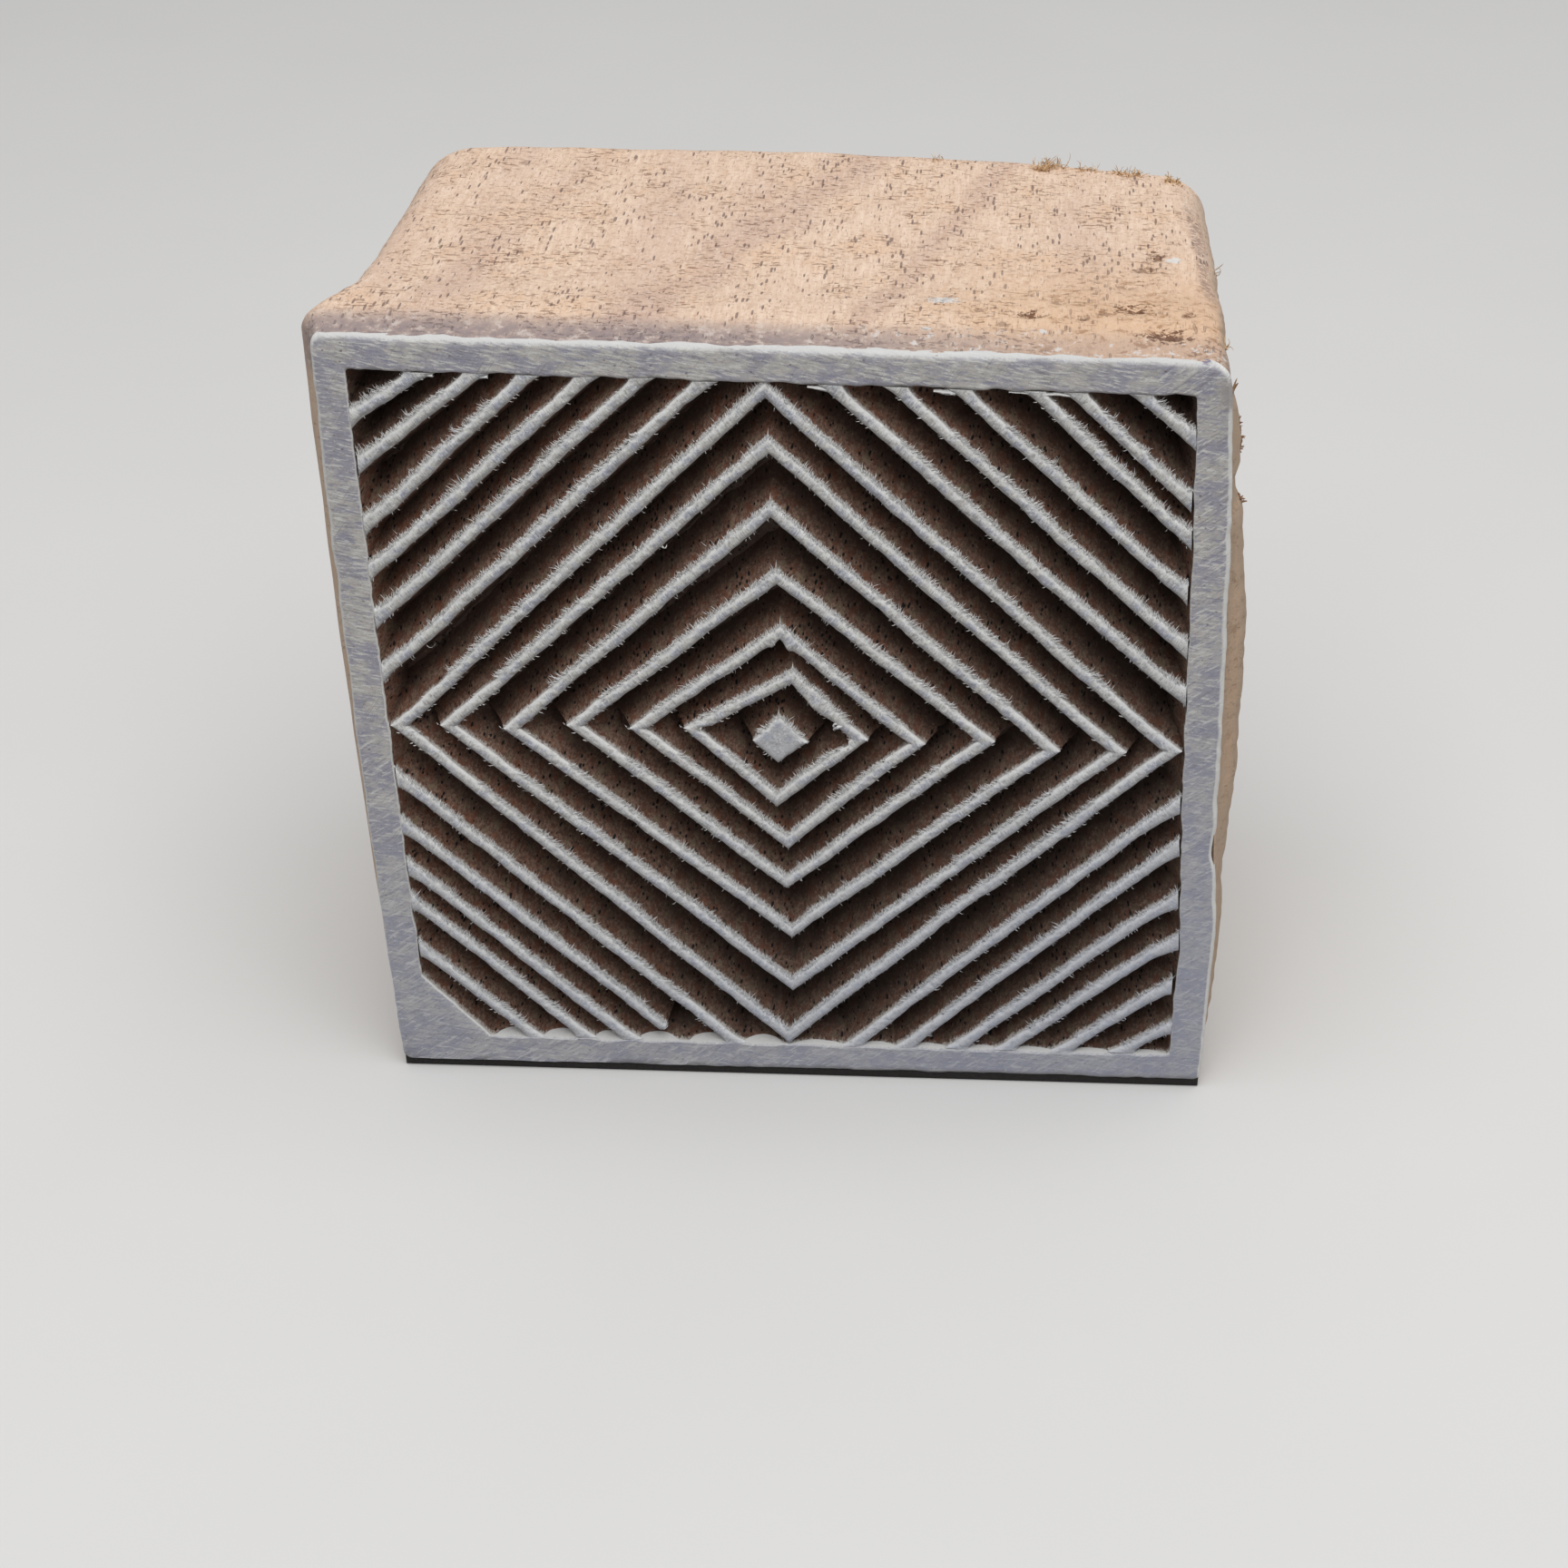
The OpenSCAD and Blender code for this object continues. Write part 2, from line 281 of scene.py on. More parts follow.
# Torn pits in the top: x, y, reach along x, reach along y, depth
PITS = [(18.1, 6.0, 0.9, 0.7, 0.45), (25.5, 7.6, 1.1, 0.9, 0.5), (27.8, 3.3, 1.6, 0.8, 0.45),
        (27.2, 18.6, 0.7, 0.7, 0.3), (26.4, 16.0, 0.9, 0.6, 0.25), (21.8, 5.6, 0.8, 0.5, 0.25),
        (23.6, 6.6, 0.6, 0.5, 0.2), (20.0, 8.8, 0.6, 0.6, 0.2), (14.5, 6.4, 0.5, 0.4, 0.2),
        (25.0, 12.4, 0.6, 0.5, 0.2), (29.2, 6.6, 0.6, 0.6, 0.25), (16.2, 4.2, 0.6, 0.4, 0.2),
        (-22.0, 13.0, 1.2, 0.5, 0.12)]
# Dabs of chalk on the top: x, y, reach along x, reach along y
DABS = [(11.9, 8.3, 1.3, 0.8), (28.4, 17.9, 0.7, 0.6), (10.9, 3.1, 0.4, 0.3), (19.1, 3.2, 0.3, 0.3)]
# Mauve growth bands across the top: x at the face, slope along the depth, half width, strength
GROWTH_BANDS = [(-11.7, 0.45, 2.6, 0.42), (5.0, 0.3, 1.3, 0.42), (-27.0, 0.3, 1.8, 0.2)]
# Worn chalk at the chipped corner: place (x, y, z), reach, colour
CORNER_WEAR = [((32.2, -19.6, 61.6), (1.3, 1.5, 1.5), (0.42, 0.385, 0.375)),
               ((30.3, -19.4, 64.1), (0.5, 1.0, 0.3), (0.17, 0.13, 0.22))]
# Tufts of torn fibre: place (x, y, v), spread along x or v, count, length, radius, lean
TUFTS = [
    ((10.2, 36.4, 31), 0.5, 12, 1.2, 0.06, (0.6, 0.2, 0.9)),
    ((18.4, 35.4, 31), 0.6, 44, 1.3, 0.08, (0.2, 0.3, 0.8)),
    ((19.4, 36.4, 31), 0.8, 40, 1.6, 0.07, (0.2, 0.2, 1.0)),
    ((21.8, 36.2, 31), 0.8, 26, 1.2, 0.06, (0.6, 0.2, 0.8)),
    ((25.2, 36.0, 31), 1.1, 44, 1.3, 0.07, (-0.4, 0.2, 0.8)),
    ((25.8, 36.0, 31), 0.3, 4, 2.4, 0.06, (0.7, 0.2, 1.0)),
    ((28.6, 35.2, 30), 0.5, 34, 1.1, 0.09, (0.2, 0.2, 0.8)),
    ((31.5, 20.5, 29.5), 0.2, 4, 1.8, 0.06, (1.0, -0.1, 0.2)),
    ((32.0, 3.4, 31.6), 0.2, 9, 1.2, 0.08, (0.3, -0.2, 1.0)),
    ((32.7, 3.4, 28.3), 0.1, 3, 1.5, 0.16, (0.6, 0.0, 1.0)),
    ((33.4, 4.2, 24.5), 1.8, 30, 0.5, 0.09, (0.6, 0.0, 0.4)),
    ((33.6, 4.2, 19.4), 0.2, 12, 0.6, 0.12, (0.8, 0.0, 0.3))
]
TUFT_SIDE_X = 31
TUFT_STEPS = 6
TUFT_SPREAD_Y = 0.5
TUFT_STRAY = 0.8
TUFT_CURL = (0.1, 0.7)
TUFT_SHARE = (0.4, 1.0)

# Camera at the photograph's place; floor and light in metres and watts
CAMERA_AT = (20.95, -207.4, 154.25)
CAMERA_AIM = (-2.29, 0, 15.41)
CAMERA_ROLL = math.radians(2.443)
LENS_MM = 68.4
SENSOR_MM = 36
GROUND_HALF = 3
LAMP_AT = (0.04, -0.17, 0.62)
LAMP_AIM = (0, 0, 0.03)
LAMP_SIZE = 0.6
LAMP_WATTS = 3.4
SKY = 0.33

draw = random.Random(11)


def part_way(t, low, high):
    """How far a value has come from low to high, from 0 to 1."""
    return min(1.0, max(0.0, (t - low) / (high - low)))


def rise(t, low, high):
    """The same, smooth at both ends."""
    s = part_way(t, low, high)
    return s * s * (3 - 2 * s)


def about(reach):
    return draw.uniform(-reach, reach)


def hump(t):
    return math.exp(-t ** 2)


def waver(x, y, z, size):
    return noise.noise(Vector((x / size, y / size, z / size)))


def uneven(p, wavers, seed=0):
    """The sum of a list of wavers at a place of the plan."""
    return sum(height * waver(p.x, p.y, seed + own, size) for height, own, size in wavers)


def bow(x, v, size, at_v, reach, power, low, high):
    return size * (1 - abs((v - at_v) / reach) ** power) * part_way(x, low, high)


def on_face(x, v, y):
    """A point of the face plan, at a depth behind the face, in metres."""
    swelling = LOW_SWELL * hump((v - LOW_SWELL_V) / LOW_SWELL_REACH) * part_way(x, *LOW_SWELL_X)
    x += (bow(x, v, *RIGHT_BOW) + swelling - bow(x, v, *LEFT_BOW)) * rise(y, *BOW_Y)
    z = (MID_Z + v) * (1 - TOP_DROP * x / (FACE_W * TOP_Z))
    return Vector((x, y - DEPTH / 2, z)) * MM


def add_object(name, data):
    obj = bpy.data.objects.new(name, data)
    bpy.context.scene.collection.objects.link(obj)
    return obj


class Shell:
    """Points and faces of one mesh, with a material number for each face."""

    def __init__(self):
        self.points = []
        self.faces = []
        self.kinds = []

    def rows(self, rows, kinds, ring=False, caps=True):
        """Joins loops of equally many points; kinds is one material number or one for each row."""
        if not isinstance(kinds, list):
            kinds = [kinds] * len(rows)
        first = len(self.points)
        count = len(rows[0])
        for row in rows:
            self.points.extend(row)
        for i in range(len(rows) if ring else len(rows) - 1):
            a = first + i * count
            b = first + (i + 1) % len(rows) * count
            for j in range(count):
                k = (j + 1) % count
                self.faces.append((a + j, a + k, b + k, b + j))
                self.kinds.append(kinds[i])
        if caps and not ring:
            last = first + (len(rows) - 1) * count
            self.faces.append(tuple(range(first + count - 1, first - 1, -1)))
            self.faces.append(tuple(range(last, last + count)))
            self.kinds += [kinds[0], kinds[-1]]

    def fan(self, row_start, count, centre, kind):
        """Closes a loop of the mesh with a fan about one point."""
        self.points.append(centre)
        tip = len(self.points) - 1
        for j in range(count):
            self.faces.append((row_start + j, row_start + (j + 1) % count, tip))
            self.kinds.append(kind)

    def needle(self, path, radius, sides=3):
        """A tapering fibre along a path, in metres, in the first material."""
        rows = []
        for i, p in enumerate(path[:-1]):
            run = (path[i + 1] - p).normalized()
            side = run.orthogonal().normalized()
            other = run.cross(side)
            r = radius * (1 - NEEDLE_TAPER * i / len(path))
            rows.append([p + (side * math.cos(a) + other * math.sin(a)) * r
                         for a in [2 * math.pi * s / sides for s in range(sides)]])
        first = len(self.points)
        self.rows(rows, 0, caps=False)
        self.faces.append(tuple(range(first + sides - 1, first - 1, -1)))
        self.kinds.append(0)
        self.fan(len(self.points) - sides, sides, path[-1], 0)

    def make(self, name, materials, slot, nodes, sharp=35):
        mesh = bpy.data.meshes.new(name)
        mesh.from_pydata(self.points, [], self.faces)
        for m in materials:
            mesh.materials.append(m)
        mesh.polygons.foreach_set("material_index", self.kinds)
        mesh.polygons.foreach_set("use_smooth", [True] * len(self.faces))
        b = bmesh.new()
        b.from_mesh(mesh)
        bmesh.ops.recalc_face_normals(b, faces=b.faces)
        b.to_mesh(mesh)
        b.free()
        mesh.set_sharp_from_angle(angle=math.radians(sharp))
        obj = add_object(name, mesh)
        if nodes:
            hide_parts(*nodes)
        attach(obj, "root")


# Raised lands: pairs of points along the two edges of each line

def along(a0, a1, b0, b1):
    count = max(3, int((a1 - a0).length / STEP))
    return [(a0.lerp(a1, i / count), b0.lerp(b1, i / count)) for i in range(count + 1)]


def inset(corners, width):
    """A convex counterclockwise plan drawn in by a width."""
    lines = []
    for a, b in zip(corners, corners[1:] + corners[:1]):
        d = (b - a).normalized()
        lines.append((a + Vector((-d.y, d.x)) * width, d))
    result = []
    for (p, d), (q, e) in zip(lines[-1:] + lines[:-1], lines):
        cross = d.x * e.y - d.y * e.x
        t = ((q.x - p.x) * e.y - (q.y - p.y) * e.x) / cross
        result.append(p + d * t)
    return result


def strayed(p, seed):
    """A place of the plan as the hand drew it."""
    a = waver(p.x, p.y, seed, STRAY_LONG)
    b = waver(p.x, p.y, seed + 400, STRAY_LONG)
    c = STRAY_SHORT_SHARE * waver(p.x, p.y, seed + 800, STRAY_SHORT)
    return p + Vector((a + c, b - c)) * STRAY


def growth(p, way, seed):
    """How far a cut edge grows: knife waver, chips and, on upper edges, frayed chalk."""
    g = uneven(p, KNIFE_WAVER, seed)
    if way.y > FACES_UP:
        g += FRAYED * max(0.0, waver(p.x, p.y, seed, FRAYED_SIZE))
    for x, v, reach, size in CHIPS:
        g += size * math.exp(-((p.x - x) ** 2 + (p.y - v) ** 2) / reach ** 2)
    return g


def cut_edges(pairs, seed):
    """The two edges as the knife left them, and the way across."""
    result = []
    for a, b in pairs:
        across = a - b
        out = across.normalized()
        a = strayed(a, seed)
        b = strayed(b, seed)
        grow_a = growth(a, out, seed + 10)
        grow_b = growth(b, -out, seed + 20)
        result.append((a + out * grow_a, b - out * grow_b, across / LINE_W))
    return result


def worn(p, y):
    """How far the chalk's face is worn back; nothing on the sides of the coat."""
    if y > COAT_SIDE_Y:
        return 0
    return 0.05 * abs(waver(p.x, p.y, 5, 0.7)) + 0.045 * max(0.0, waver(p.x, p.y, 15, 0.3))


def coat_rows(edges, sunk=0.0):
    rows = []
    for a, b, out in edges:
        wide = (a - b).length
        unit = (a - b) / wide
        draw_in = min(1.0, wide / LINE_W)
        row = [(a - unit * i * draw_in, y) for i, y in COAT_EDGE]
        row += [(a.lerp(b, share), y) for share, y in COAT_MIDDLE]
        row += [(b + unit * i * draw_in, y) for i, y in reversed(COAT_EDGE)]
        rows.append([on_face(*p, y + sunk + worn(p, y)) for p, y in row])
    return rows


def ridge_rows(edges):
    """Sections of the timber under a line, with rough walls."""
    rows = []
    for a, b, out in edges:
        side_a = []
        side_b = []
        for y, lean in WALL:
            rough = min(1.0, y / RIDGE_ROUGH_Y) * RIDGE_ROUGH
            p = a + out * (lean + rough * waver(a.x, a.y, y * 0.6 + 7, 1.3))
            q = b - out * (lean + rough * waver(b.x, b.y, y * 0.6 + 9, 1.3))
            side_a.append(on_face(*p, y))
            side_b.append(on_face(*q, y))
        rows.append(side_a + side_b[::-1])
    return rows


def fray(shell, edges):
    """White hairs on the edges, most of them in clumps on upper ones."""
    for a, b, out in edges:
        unit = out.normalized()
        for p, n in ((a, unit), (b, -unit)):
            upper = n.y > FACES_UP
            if not upper and draw.random() > LOW_HAIR_SHARE:
                continue
            clump = max(0.0, 0.6 + 0.9 * waver(p.x, p.y, 31, 0.8))
            longest = (LONG_HAIR if upper else LOW_LONG_HAIR) * clump
            run = Vector((-n.y, n.x))
            for i in range(draw.randrange(*HAIR_COUNT) if upper else 1):
                reach = HAIR_REACH + draw.uniform(0, HAIR_MORE) + draw.random() ** 3 * longest
                y = draw.uniform(*HAIR_Y)
                start = p + run * about(HAIR_SPREAD)
                sway = run * about(HAIR_SWAY) * reach
                root = start - n * HAIR_ROOT
                mid = start + n * reach * 0.5 + sway * 0.3
                tip = start + n * reach + sway
                path = [on_face(*root, y), on_face(*mid, y), on_face(*tip, y + HAIR_DROOP)]
                shell.needle(path, draw.uniform(*HAIR_R) * MM)


def spike(shell, at, way, length, depth):
    """A thorn that the knife drew out from a tip."""
    places = [(at - way * SPIKE_ROOT, 0.14), (at + way * length * 0.4, 0.22), (at + way * length, depth)]
    shell.needle([on_face(*p, y) for p, y in places], SPIKE_R * MM, sides=4)


def curl(shell, x, v, turn, length, radius):
    """A flake that lifts off an edge and curls forward."""
    path = []
    for s in range(CURL_STEPS + 1):
        t = s / CURL_STEPS
        way = math.radians(turn + CURL_TURN * t)
        x += math.cos(way) * length / CURL_STEPS
        v += math.sin(way) * length / CURL_STEPS
        path.append(on_face(x, v, CURL_Y - CURL_LIFT * math.sin(math.pi * t)))
    shell.needle(path, radius * MM, sides=6)


def around(outer, inner):
    """Pairs of points round a closed land."""
    pairs = []
    for i in range(len(outer)):
        j = (i + 1) % len(outer)
        pairs += along(outer[i], outer[j], inner[i], inner[j])[:-1]
    return pairs


def line_pairs(name, k):
    sx, sz, across, beside = CORNER_LINES[name]
    open_x = OPEN_LEFT if sx < 0 else OPEN_RIGHT
    open_v = OPEN_BOTTOM if sz < 0 else OPEN_TOP
    a = Vector((sx * across[k] * SHARE_W, sz * SHARE_H))
    b = Vector((sx * SHARE_W, sz * beside[k] * SHARE_H))
    d = (b - a).normalized()
    n = Vector((d.y, -d.x))
    if n.x * sx < 0:
        n = -n
    short = (name, k) == SHORT_LINE
    end_v = open_v + sz * (opening_waver(Vector((a.x, open_v))) - END_NICK)
    if short:
        end_v -= sz * SHORT_BY
    nick = (LEFT_NICK if sx < 0 else RIGHT_NICK) * (ODD_NICK if k % 2 else 1)
    end_x = open_x + sx * (opening_waver(Vector((open_x, b.y))) - nick)
    ends = []
    for side in (1, -1):
        p = a + n * side * LINE_W / 2
        start = a if short else p
        ends.append((p + d * ((end_v - start.y) / d.y), p + d * ((end_x - p.x) / d.x)))
    pairs = along(ends[0][0], ends[0][1], ends[1][0], ends[1][1])
    if short:
        pairs = rounded_start(pairs)
    return flared(pairs, not short)


def flared(pairs, both):
    """Widens a line where it runs into the border."""
    mids = [(a + b) / 2 for a, b in pairs]
    result = []
    for (a, b), mid in zip(pairs, mids):
        away = (mid - mids[-1]).length
        if both:
            away = min(away, (mid - mids[0]).length)
        wide = 1 + END_FLARE * math.exp(-away / END_FLARE_REACH)
        result.append((mid.lerp(a, wide), mid.lerp(b, wide)))
    return result


def rounded_start(pairs):
    """Narrows the first pairs of a line to a half round."""
    half = LINE_W / 2
    result = []
    for i, (a, b) in enumerate(pairs):
        gone = min(half, i * STEP + 0.03)
        wide = math.sqrt(half ** 2 - (half - gone) ** 2) / half
        mid = (a + b) / 2
        result.append((mid.lerp(a, wide), mid.lerp(b, wide)))
    return result


def foot_pairs(x0, x1, v, half):
    top = v + half
    thin = top - 2 * FOOT_THIN * half
    return along(Vector((x0, top)), Vector((x1, top)), Vector((x0, thin)), Vector((x1, v - half)))


# The border and the opening, as plans of equally many points

def arc(x, v, r, turn):
    """A plan's corner, rounded, from a turn in degrees on."""
    cx = x - r if x > 0 else x + r
    cv = v - r if v > 0 else v + r
    angles = [math.radians(turn + 90 * s) for s in CORNER_STEPS]
    return [Vector((cx + r * math.cos(t), cv + r * math.sin(t))) for t in angles]


def box_arcs(left, right, bottom, top, radii):
    """The corners of a box, counterclockwise from the upper right one."""
    corners = ((right, top), (left, top), (left, bottom), (right, bottom))
    return [arc(x, v, r, 90 * i) for i, ((x, v), r) in enumerate(zip(corners, radii))]


def joined(arcs):
    """Corner arcs joined by evenly divided sides."""
    plan = []
    for i, corner in enumerate(arcs):
        following = arcs[(i + 1) % len(arcs)][0]
        plan += corner
        plan += [corner[-1].lerp(following, s / SIDE_COUNT) for s in range(1, SIDE_COUNT)]
    return plan


def edge_plan(grow):
    """The chalked face's outline, drawn out by a margin."""
    radii = [max(LEAST_R, r + grow) for r in EDGE_RADII]
    return joined(box_arcs(EDGE_LEFT - grow, EDGE_RIGHT + grow, EDGE_BOTTOM - grow, EDGE_TOP + grow, radii))


def opening_plan(grow):
    """The carved opening's outline, with the uncarved lower left corner."""
    left = OPEN_LEFT - grow
    bottom = OPEN_BOTTOM - grow
    up = Vector((left, OPEN_BOTTOM + WEDGE_UP - WEDGE_GROW * grow))
    low = Vector((OPEN_LEFT + WEDGE_ALONG - WEDGE_GROW * grow, bottom))
    arcs = box_arcs(left, OPEN_RIGHT + grow, bottom, OPEN_TOP + grow, [OPEN_R] * 4)
    arcs[2] = [up.lerp(low, s) for s in CORNER_STEPS]
    return joined(arcs)


def edge_waver(p):
    w = uneven(p, EDGE_WAVER)
    if p.x > EDGE_DENT_X:
        w -= EDGE_DENT * hump((p.y - EDGE_DENT_V) / EDGE_DENT_REACH)
    return w


def scoop(p):
    """One where the middle of a groove runs out at the bottom border, nothing at the lines."""
    if p.y > SCOOP_V:
        return 0
    for a, b in zip(BOTTOM_ENDS, BOTTOM_ENDS[1:]):
        if a < p.x < b:
            t = (p.x - (a + b) / 2) / ((b - a) / 2 - END_HALF)
            return max(0.0, 1 - t * t) ** SCOOP_ROUND * (SCOOP_RIGHT if p.x > LOW_TIP_X else 1)
    return 0


def opening_waver(p):
    w = uneven(p, OPEN_WAVER) + SCOOP_OUT * scoop(p)
    if p.y > OPEN_TOP_V:
        w += uneven(p, OPEN_TOP_WAVER)
    return w


def outward(plan):
    """The outward direction at each point of a counterclockwise plan."""
    result = []
    for i in range(len(plan)):
        run = plan[(i + 1) % len(plan)] - plan[i - 1]
        result.append(Vector((run.y, -run.x)).normalized())
    return result


def border_rows():
    """Sections of the border's coat, one at each point of the plans."""
    outer = edge_plan(0)
    inner = opening_plan(0)
    scoops = [scoop(q) for q in inner]
    normals = outward(inner)
    outer = [p + n * edge_waver(p) for p, n in zip(outer, outward(outer))]
    inner = [q + n * opening_waver(q) for q, n in zip(inner, normals)]
    rows = []
    for p, q, n, s in zip(outer, inner, normals, scoops):
        d = (q - p).normalized()
        wrap = WRAP + uneven(p, WRAP_WAVER)
        row = [(p + d * i, y * wrap) for i, y in BORDER_OUT]
        for share in BORDER_SHARES:
            mid = p.lerp(q, share)
            row.append((mid, BORDER_WORN * abs(waver(mid.x, mid.y, 5, 0.9))))
        row += [(q - d * i - n * SCOOP_UP * s * y / COAT_T, y * (1 + SCOOP_DEEP * s)) for i, y in BORDER_IN]
        rows.append([on_face(*at, y) for at, y in row])
    return rows


# The timber

def swell(y, flare, neck, taper, flare_y, neck_y):
    """How far a side stands out at a depth: flare behind the face, neck at the grip, taper to the back."""
    if y < flare_y:
        return flare * math.sin(math.pi / 2 * max(0.0, y - COAT_T) / (flare_y - COAT_T))
    if y < neck_y:
        t = (y - flare_y) / (neck_y - flare_y)
        return flare - (flare + neck) * (1 - math.cos(math.pi * t)) / 2
    return -neck - taper * (y - neck_y) / (DEPTH - neck_y)


def changed(v, changes):
    return sum(change * rise(v, start, end) for change, start, end in changes)


def right_flare(v):
    nick = FLARE_NICK * math.exp(-((v - FLARE_NICK_V) / FLARE_NICK_REACH) ** 4)
    return RIGHT_FLARE + changed(v, RIGHT_CHANGES) - nick


def back_inset(y):
    t = max(0.0, (y - DEPTH + BACK_R) / BACK_R)
    return BACK_R * (1 - math.sqrt(max(0.0, 1 - t * t)))


def section(y, inward):
    """The timber's outline at a depth, drawn in by a margin, with outward directions."""
    half = HALF_W - back_inset(y) - inward
    r = FRONT_EDGE_R + (BACK_EDGE_R - FRONT_EDGE_R) * y / DEPTH
    r = min(max(EDGE_LEAST_R, r - EDGE_DRAWN_IN * inward), EDGE_MOST_SHARE * half)
    right_r = RIGHT_EDGE_SHARE * r
    plan = joined(box_arcs(-half, half, -half, half, (right_r, r, r, right_r)))
    result = []
    for p, out in zip(plan, outward(plan)):
        share = p.x / HALF_W
        if p.x > 0:
            side = swell(y, right_flare(p.y), *RIGHT_SIDE)
        else:
            side = swell(y, LEFT_FLARE + changed(p.y, LEFT_CHANGES), *LEFT_SIDE)
        upright = LIP_H
        if p.y > 0:
            upright = swell(y, TOP_FLARE, *TOP_SIDE)
            upright -= BACK_DROP * (y / DEPTH) ** 2 * share ** 2
        up = p.y / (FACE_H / 2)
        result.append((Vector((p.x + side * share, p.y + upright * up)), out))
    return result


def pit_depth(x, y):
    return sum(d * math.exp(-((x - px) / rx) ** 2 - ((y - py) / ry) ** 2) for px, py, rx, ry, d in PITS)


def on_timber(p, out, y):
    """A point of the timber's outside, with the rasp's unevenness and the skew of the back."""
    lift = sum(height * waver(p.x, y, p.y, size) for height, size in TIMBER_WAVER)
    rasp = RASP * noise.noise(Vector((p.x / RASP_LONG, y / RASP_PITCH, p.y / RASP_LONG)))
    torn = TORN * waver(p.x, y, p.y, TORN_SIZE) * rise(p.x, *TORN_X) * rise(y, *TORN_Y)
    move = (lift + rasp + torn) * rise(y, *BARE_Y)
    if out.y > 0.5:
        move -= pit_depth(p.x, y)
    move *= rise(out.y, *FLAT_UNDER)
    q = p + out * move
    share = max(0.0, (y - NECK_Y) / (DEPTH - NECK_Y))
    bent = BACK_BOW * (BACK_BOW_MIDDLE - (q.x / HALF_W) ** 2)
    deep = y + (bent - BACK_SKEW * q.x / FACE_W) * share
    point = on_face(*q, y)
    point.y = (deep - DEPTH / 2) * MM
    point.z = max(0.0, point.z)
    return point


def floor_rows():
    """Rings of the groove floor, from the middle outward."""
    plan = opening_plan(-FLOOR_INSET)
    rows = []
    for i in range(1, FLOOR_RINGS + 1):
        ring = [FLOOR_MIDDLE.lerp(p, i / FLOOR_RINGS) for p in plan]
        rows.append([on_face(*s, FLOOR_Y + uneven(s, FLOOR_WAVER)) for s in ring])
    return rows


def wall_rows():
    """Rings of the opening's wall, from the floor up to the coat."""
    rows = []
    for y, lean in reversed(WALL[:-1]):
        plan = opening_plan(-lean)
        row = []
        for p, n in zip(plan, outward(plan)):
            s = scoop(p)
            rough = WALL_ROUGH * min(1.0, y) * waver(p.x, p.y, y + 3, 1.2) * rise(s, 0.5, 0)
            behind = (SCOOP_UP - SCOOP_SEAT) * s * min(1.0, y / (COAT_T * (1 + SCOOP_DEEP)))
            row.append(on_face(*(p + n * (opening_waver(p) - rough - behind)), y))
        rows.append(row)
    return rows


def outside_rows():
    """Rings from the lip behind the chalk to the rounded back."""
    plans = [edge_plan(-draw_in) for draw_in, foot_y, lip_y in LIP_ROWS]
    start = [Vector((p.x, FOOT_V if p.y < FOOT_TOP else p.y)) for p in plans[-1]]
    plans[-1] = start
    rows = [[on_face(*p, foot_y if p.y < FOOT_TOP else lip_y) for p in plan]
            for plan, (draw_in, foot_y, lip_y) in zip(plans, LIP_ROWS)]
    stations = list(FIRST_STATIONS)
    while stations[-1] < DEPTH - BACK_R - STATION_GAP:
        stations.append(stations[-1] + STATION_STEP)
    turns = [math.pi / 2 * i / BACK_STEPS for i in range(BACK_STEPS + 1)]
    stations += [DEPTH - BACK_R + BACK_R * math.sin(t) for t in turns]
    for y in stations:
        blend = rise(y, *LIP_Y)
        row = []
        for (p, out), s in zip(section(y, 0), start):
            row.append(on_timber(s.lerp(p, blend) if blend < 1 else p, out, y))
        rows.append(row)
    return rows


def back_rows():
    """Rings of the sawn back, from its rounded edge inward."""
    rows = []
    for i in range(1, BACK_RINGS):
        row = []
        for p, out in section(DEPTH, (HALF_W - BACK_R) * i / BACK_RINGS):
            saw = uneven(p, SAW_WAVER) + SAW * noise.noise(Vector((p.x / SAW_LONG, p.y / SAW_PITCH, 4)))
            flat = on_timber(p, Vector((0, 0)), DEPTH)
            flat.y += saw * rise(i, 0, SAW_FADE) * MM
            row.append(flat)
        rows.append(row)
    return rows


def timber():
    """The block without its lines: carved rows in the second material, bare ones in the first."""
    rows = floor_rows() + wall_rows()
    kinds = [1] * len(rows)
    rows += outside_rows() + back_rows()
    kinds += [0] * (len(rows) - len(kinds))
    shell = Shell()
    shell.rows(rows, kinds, caps=False)
    count = len(rows[0])
    shell.fan(0, count, on_face(*FLOOR_MIDDLE, FLOOR_Y), 1)
    shell.fan((len(rows) - 1) * count, count, sum(rows[-1], Vector()) / count, 0)
    return shell


# Pieces

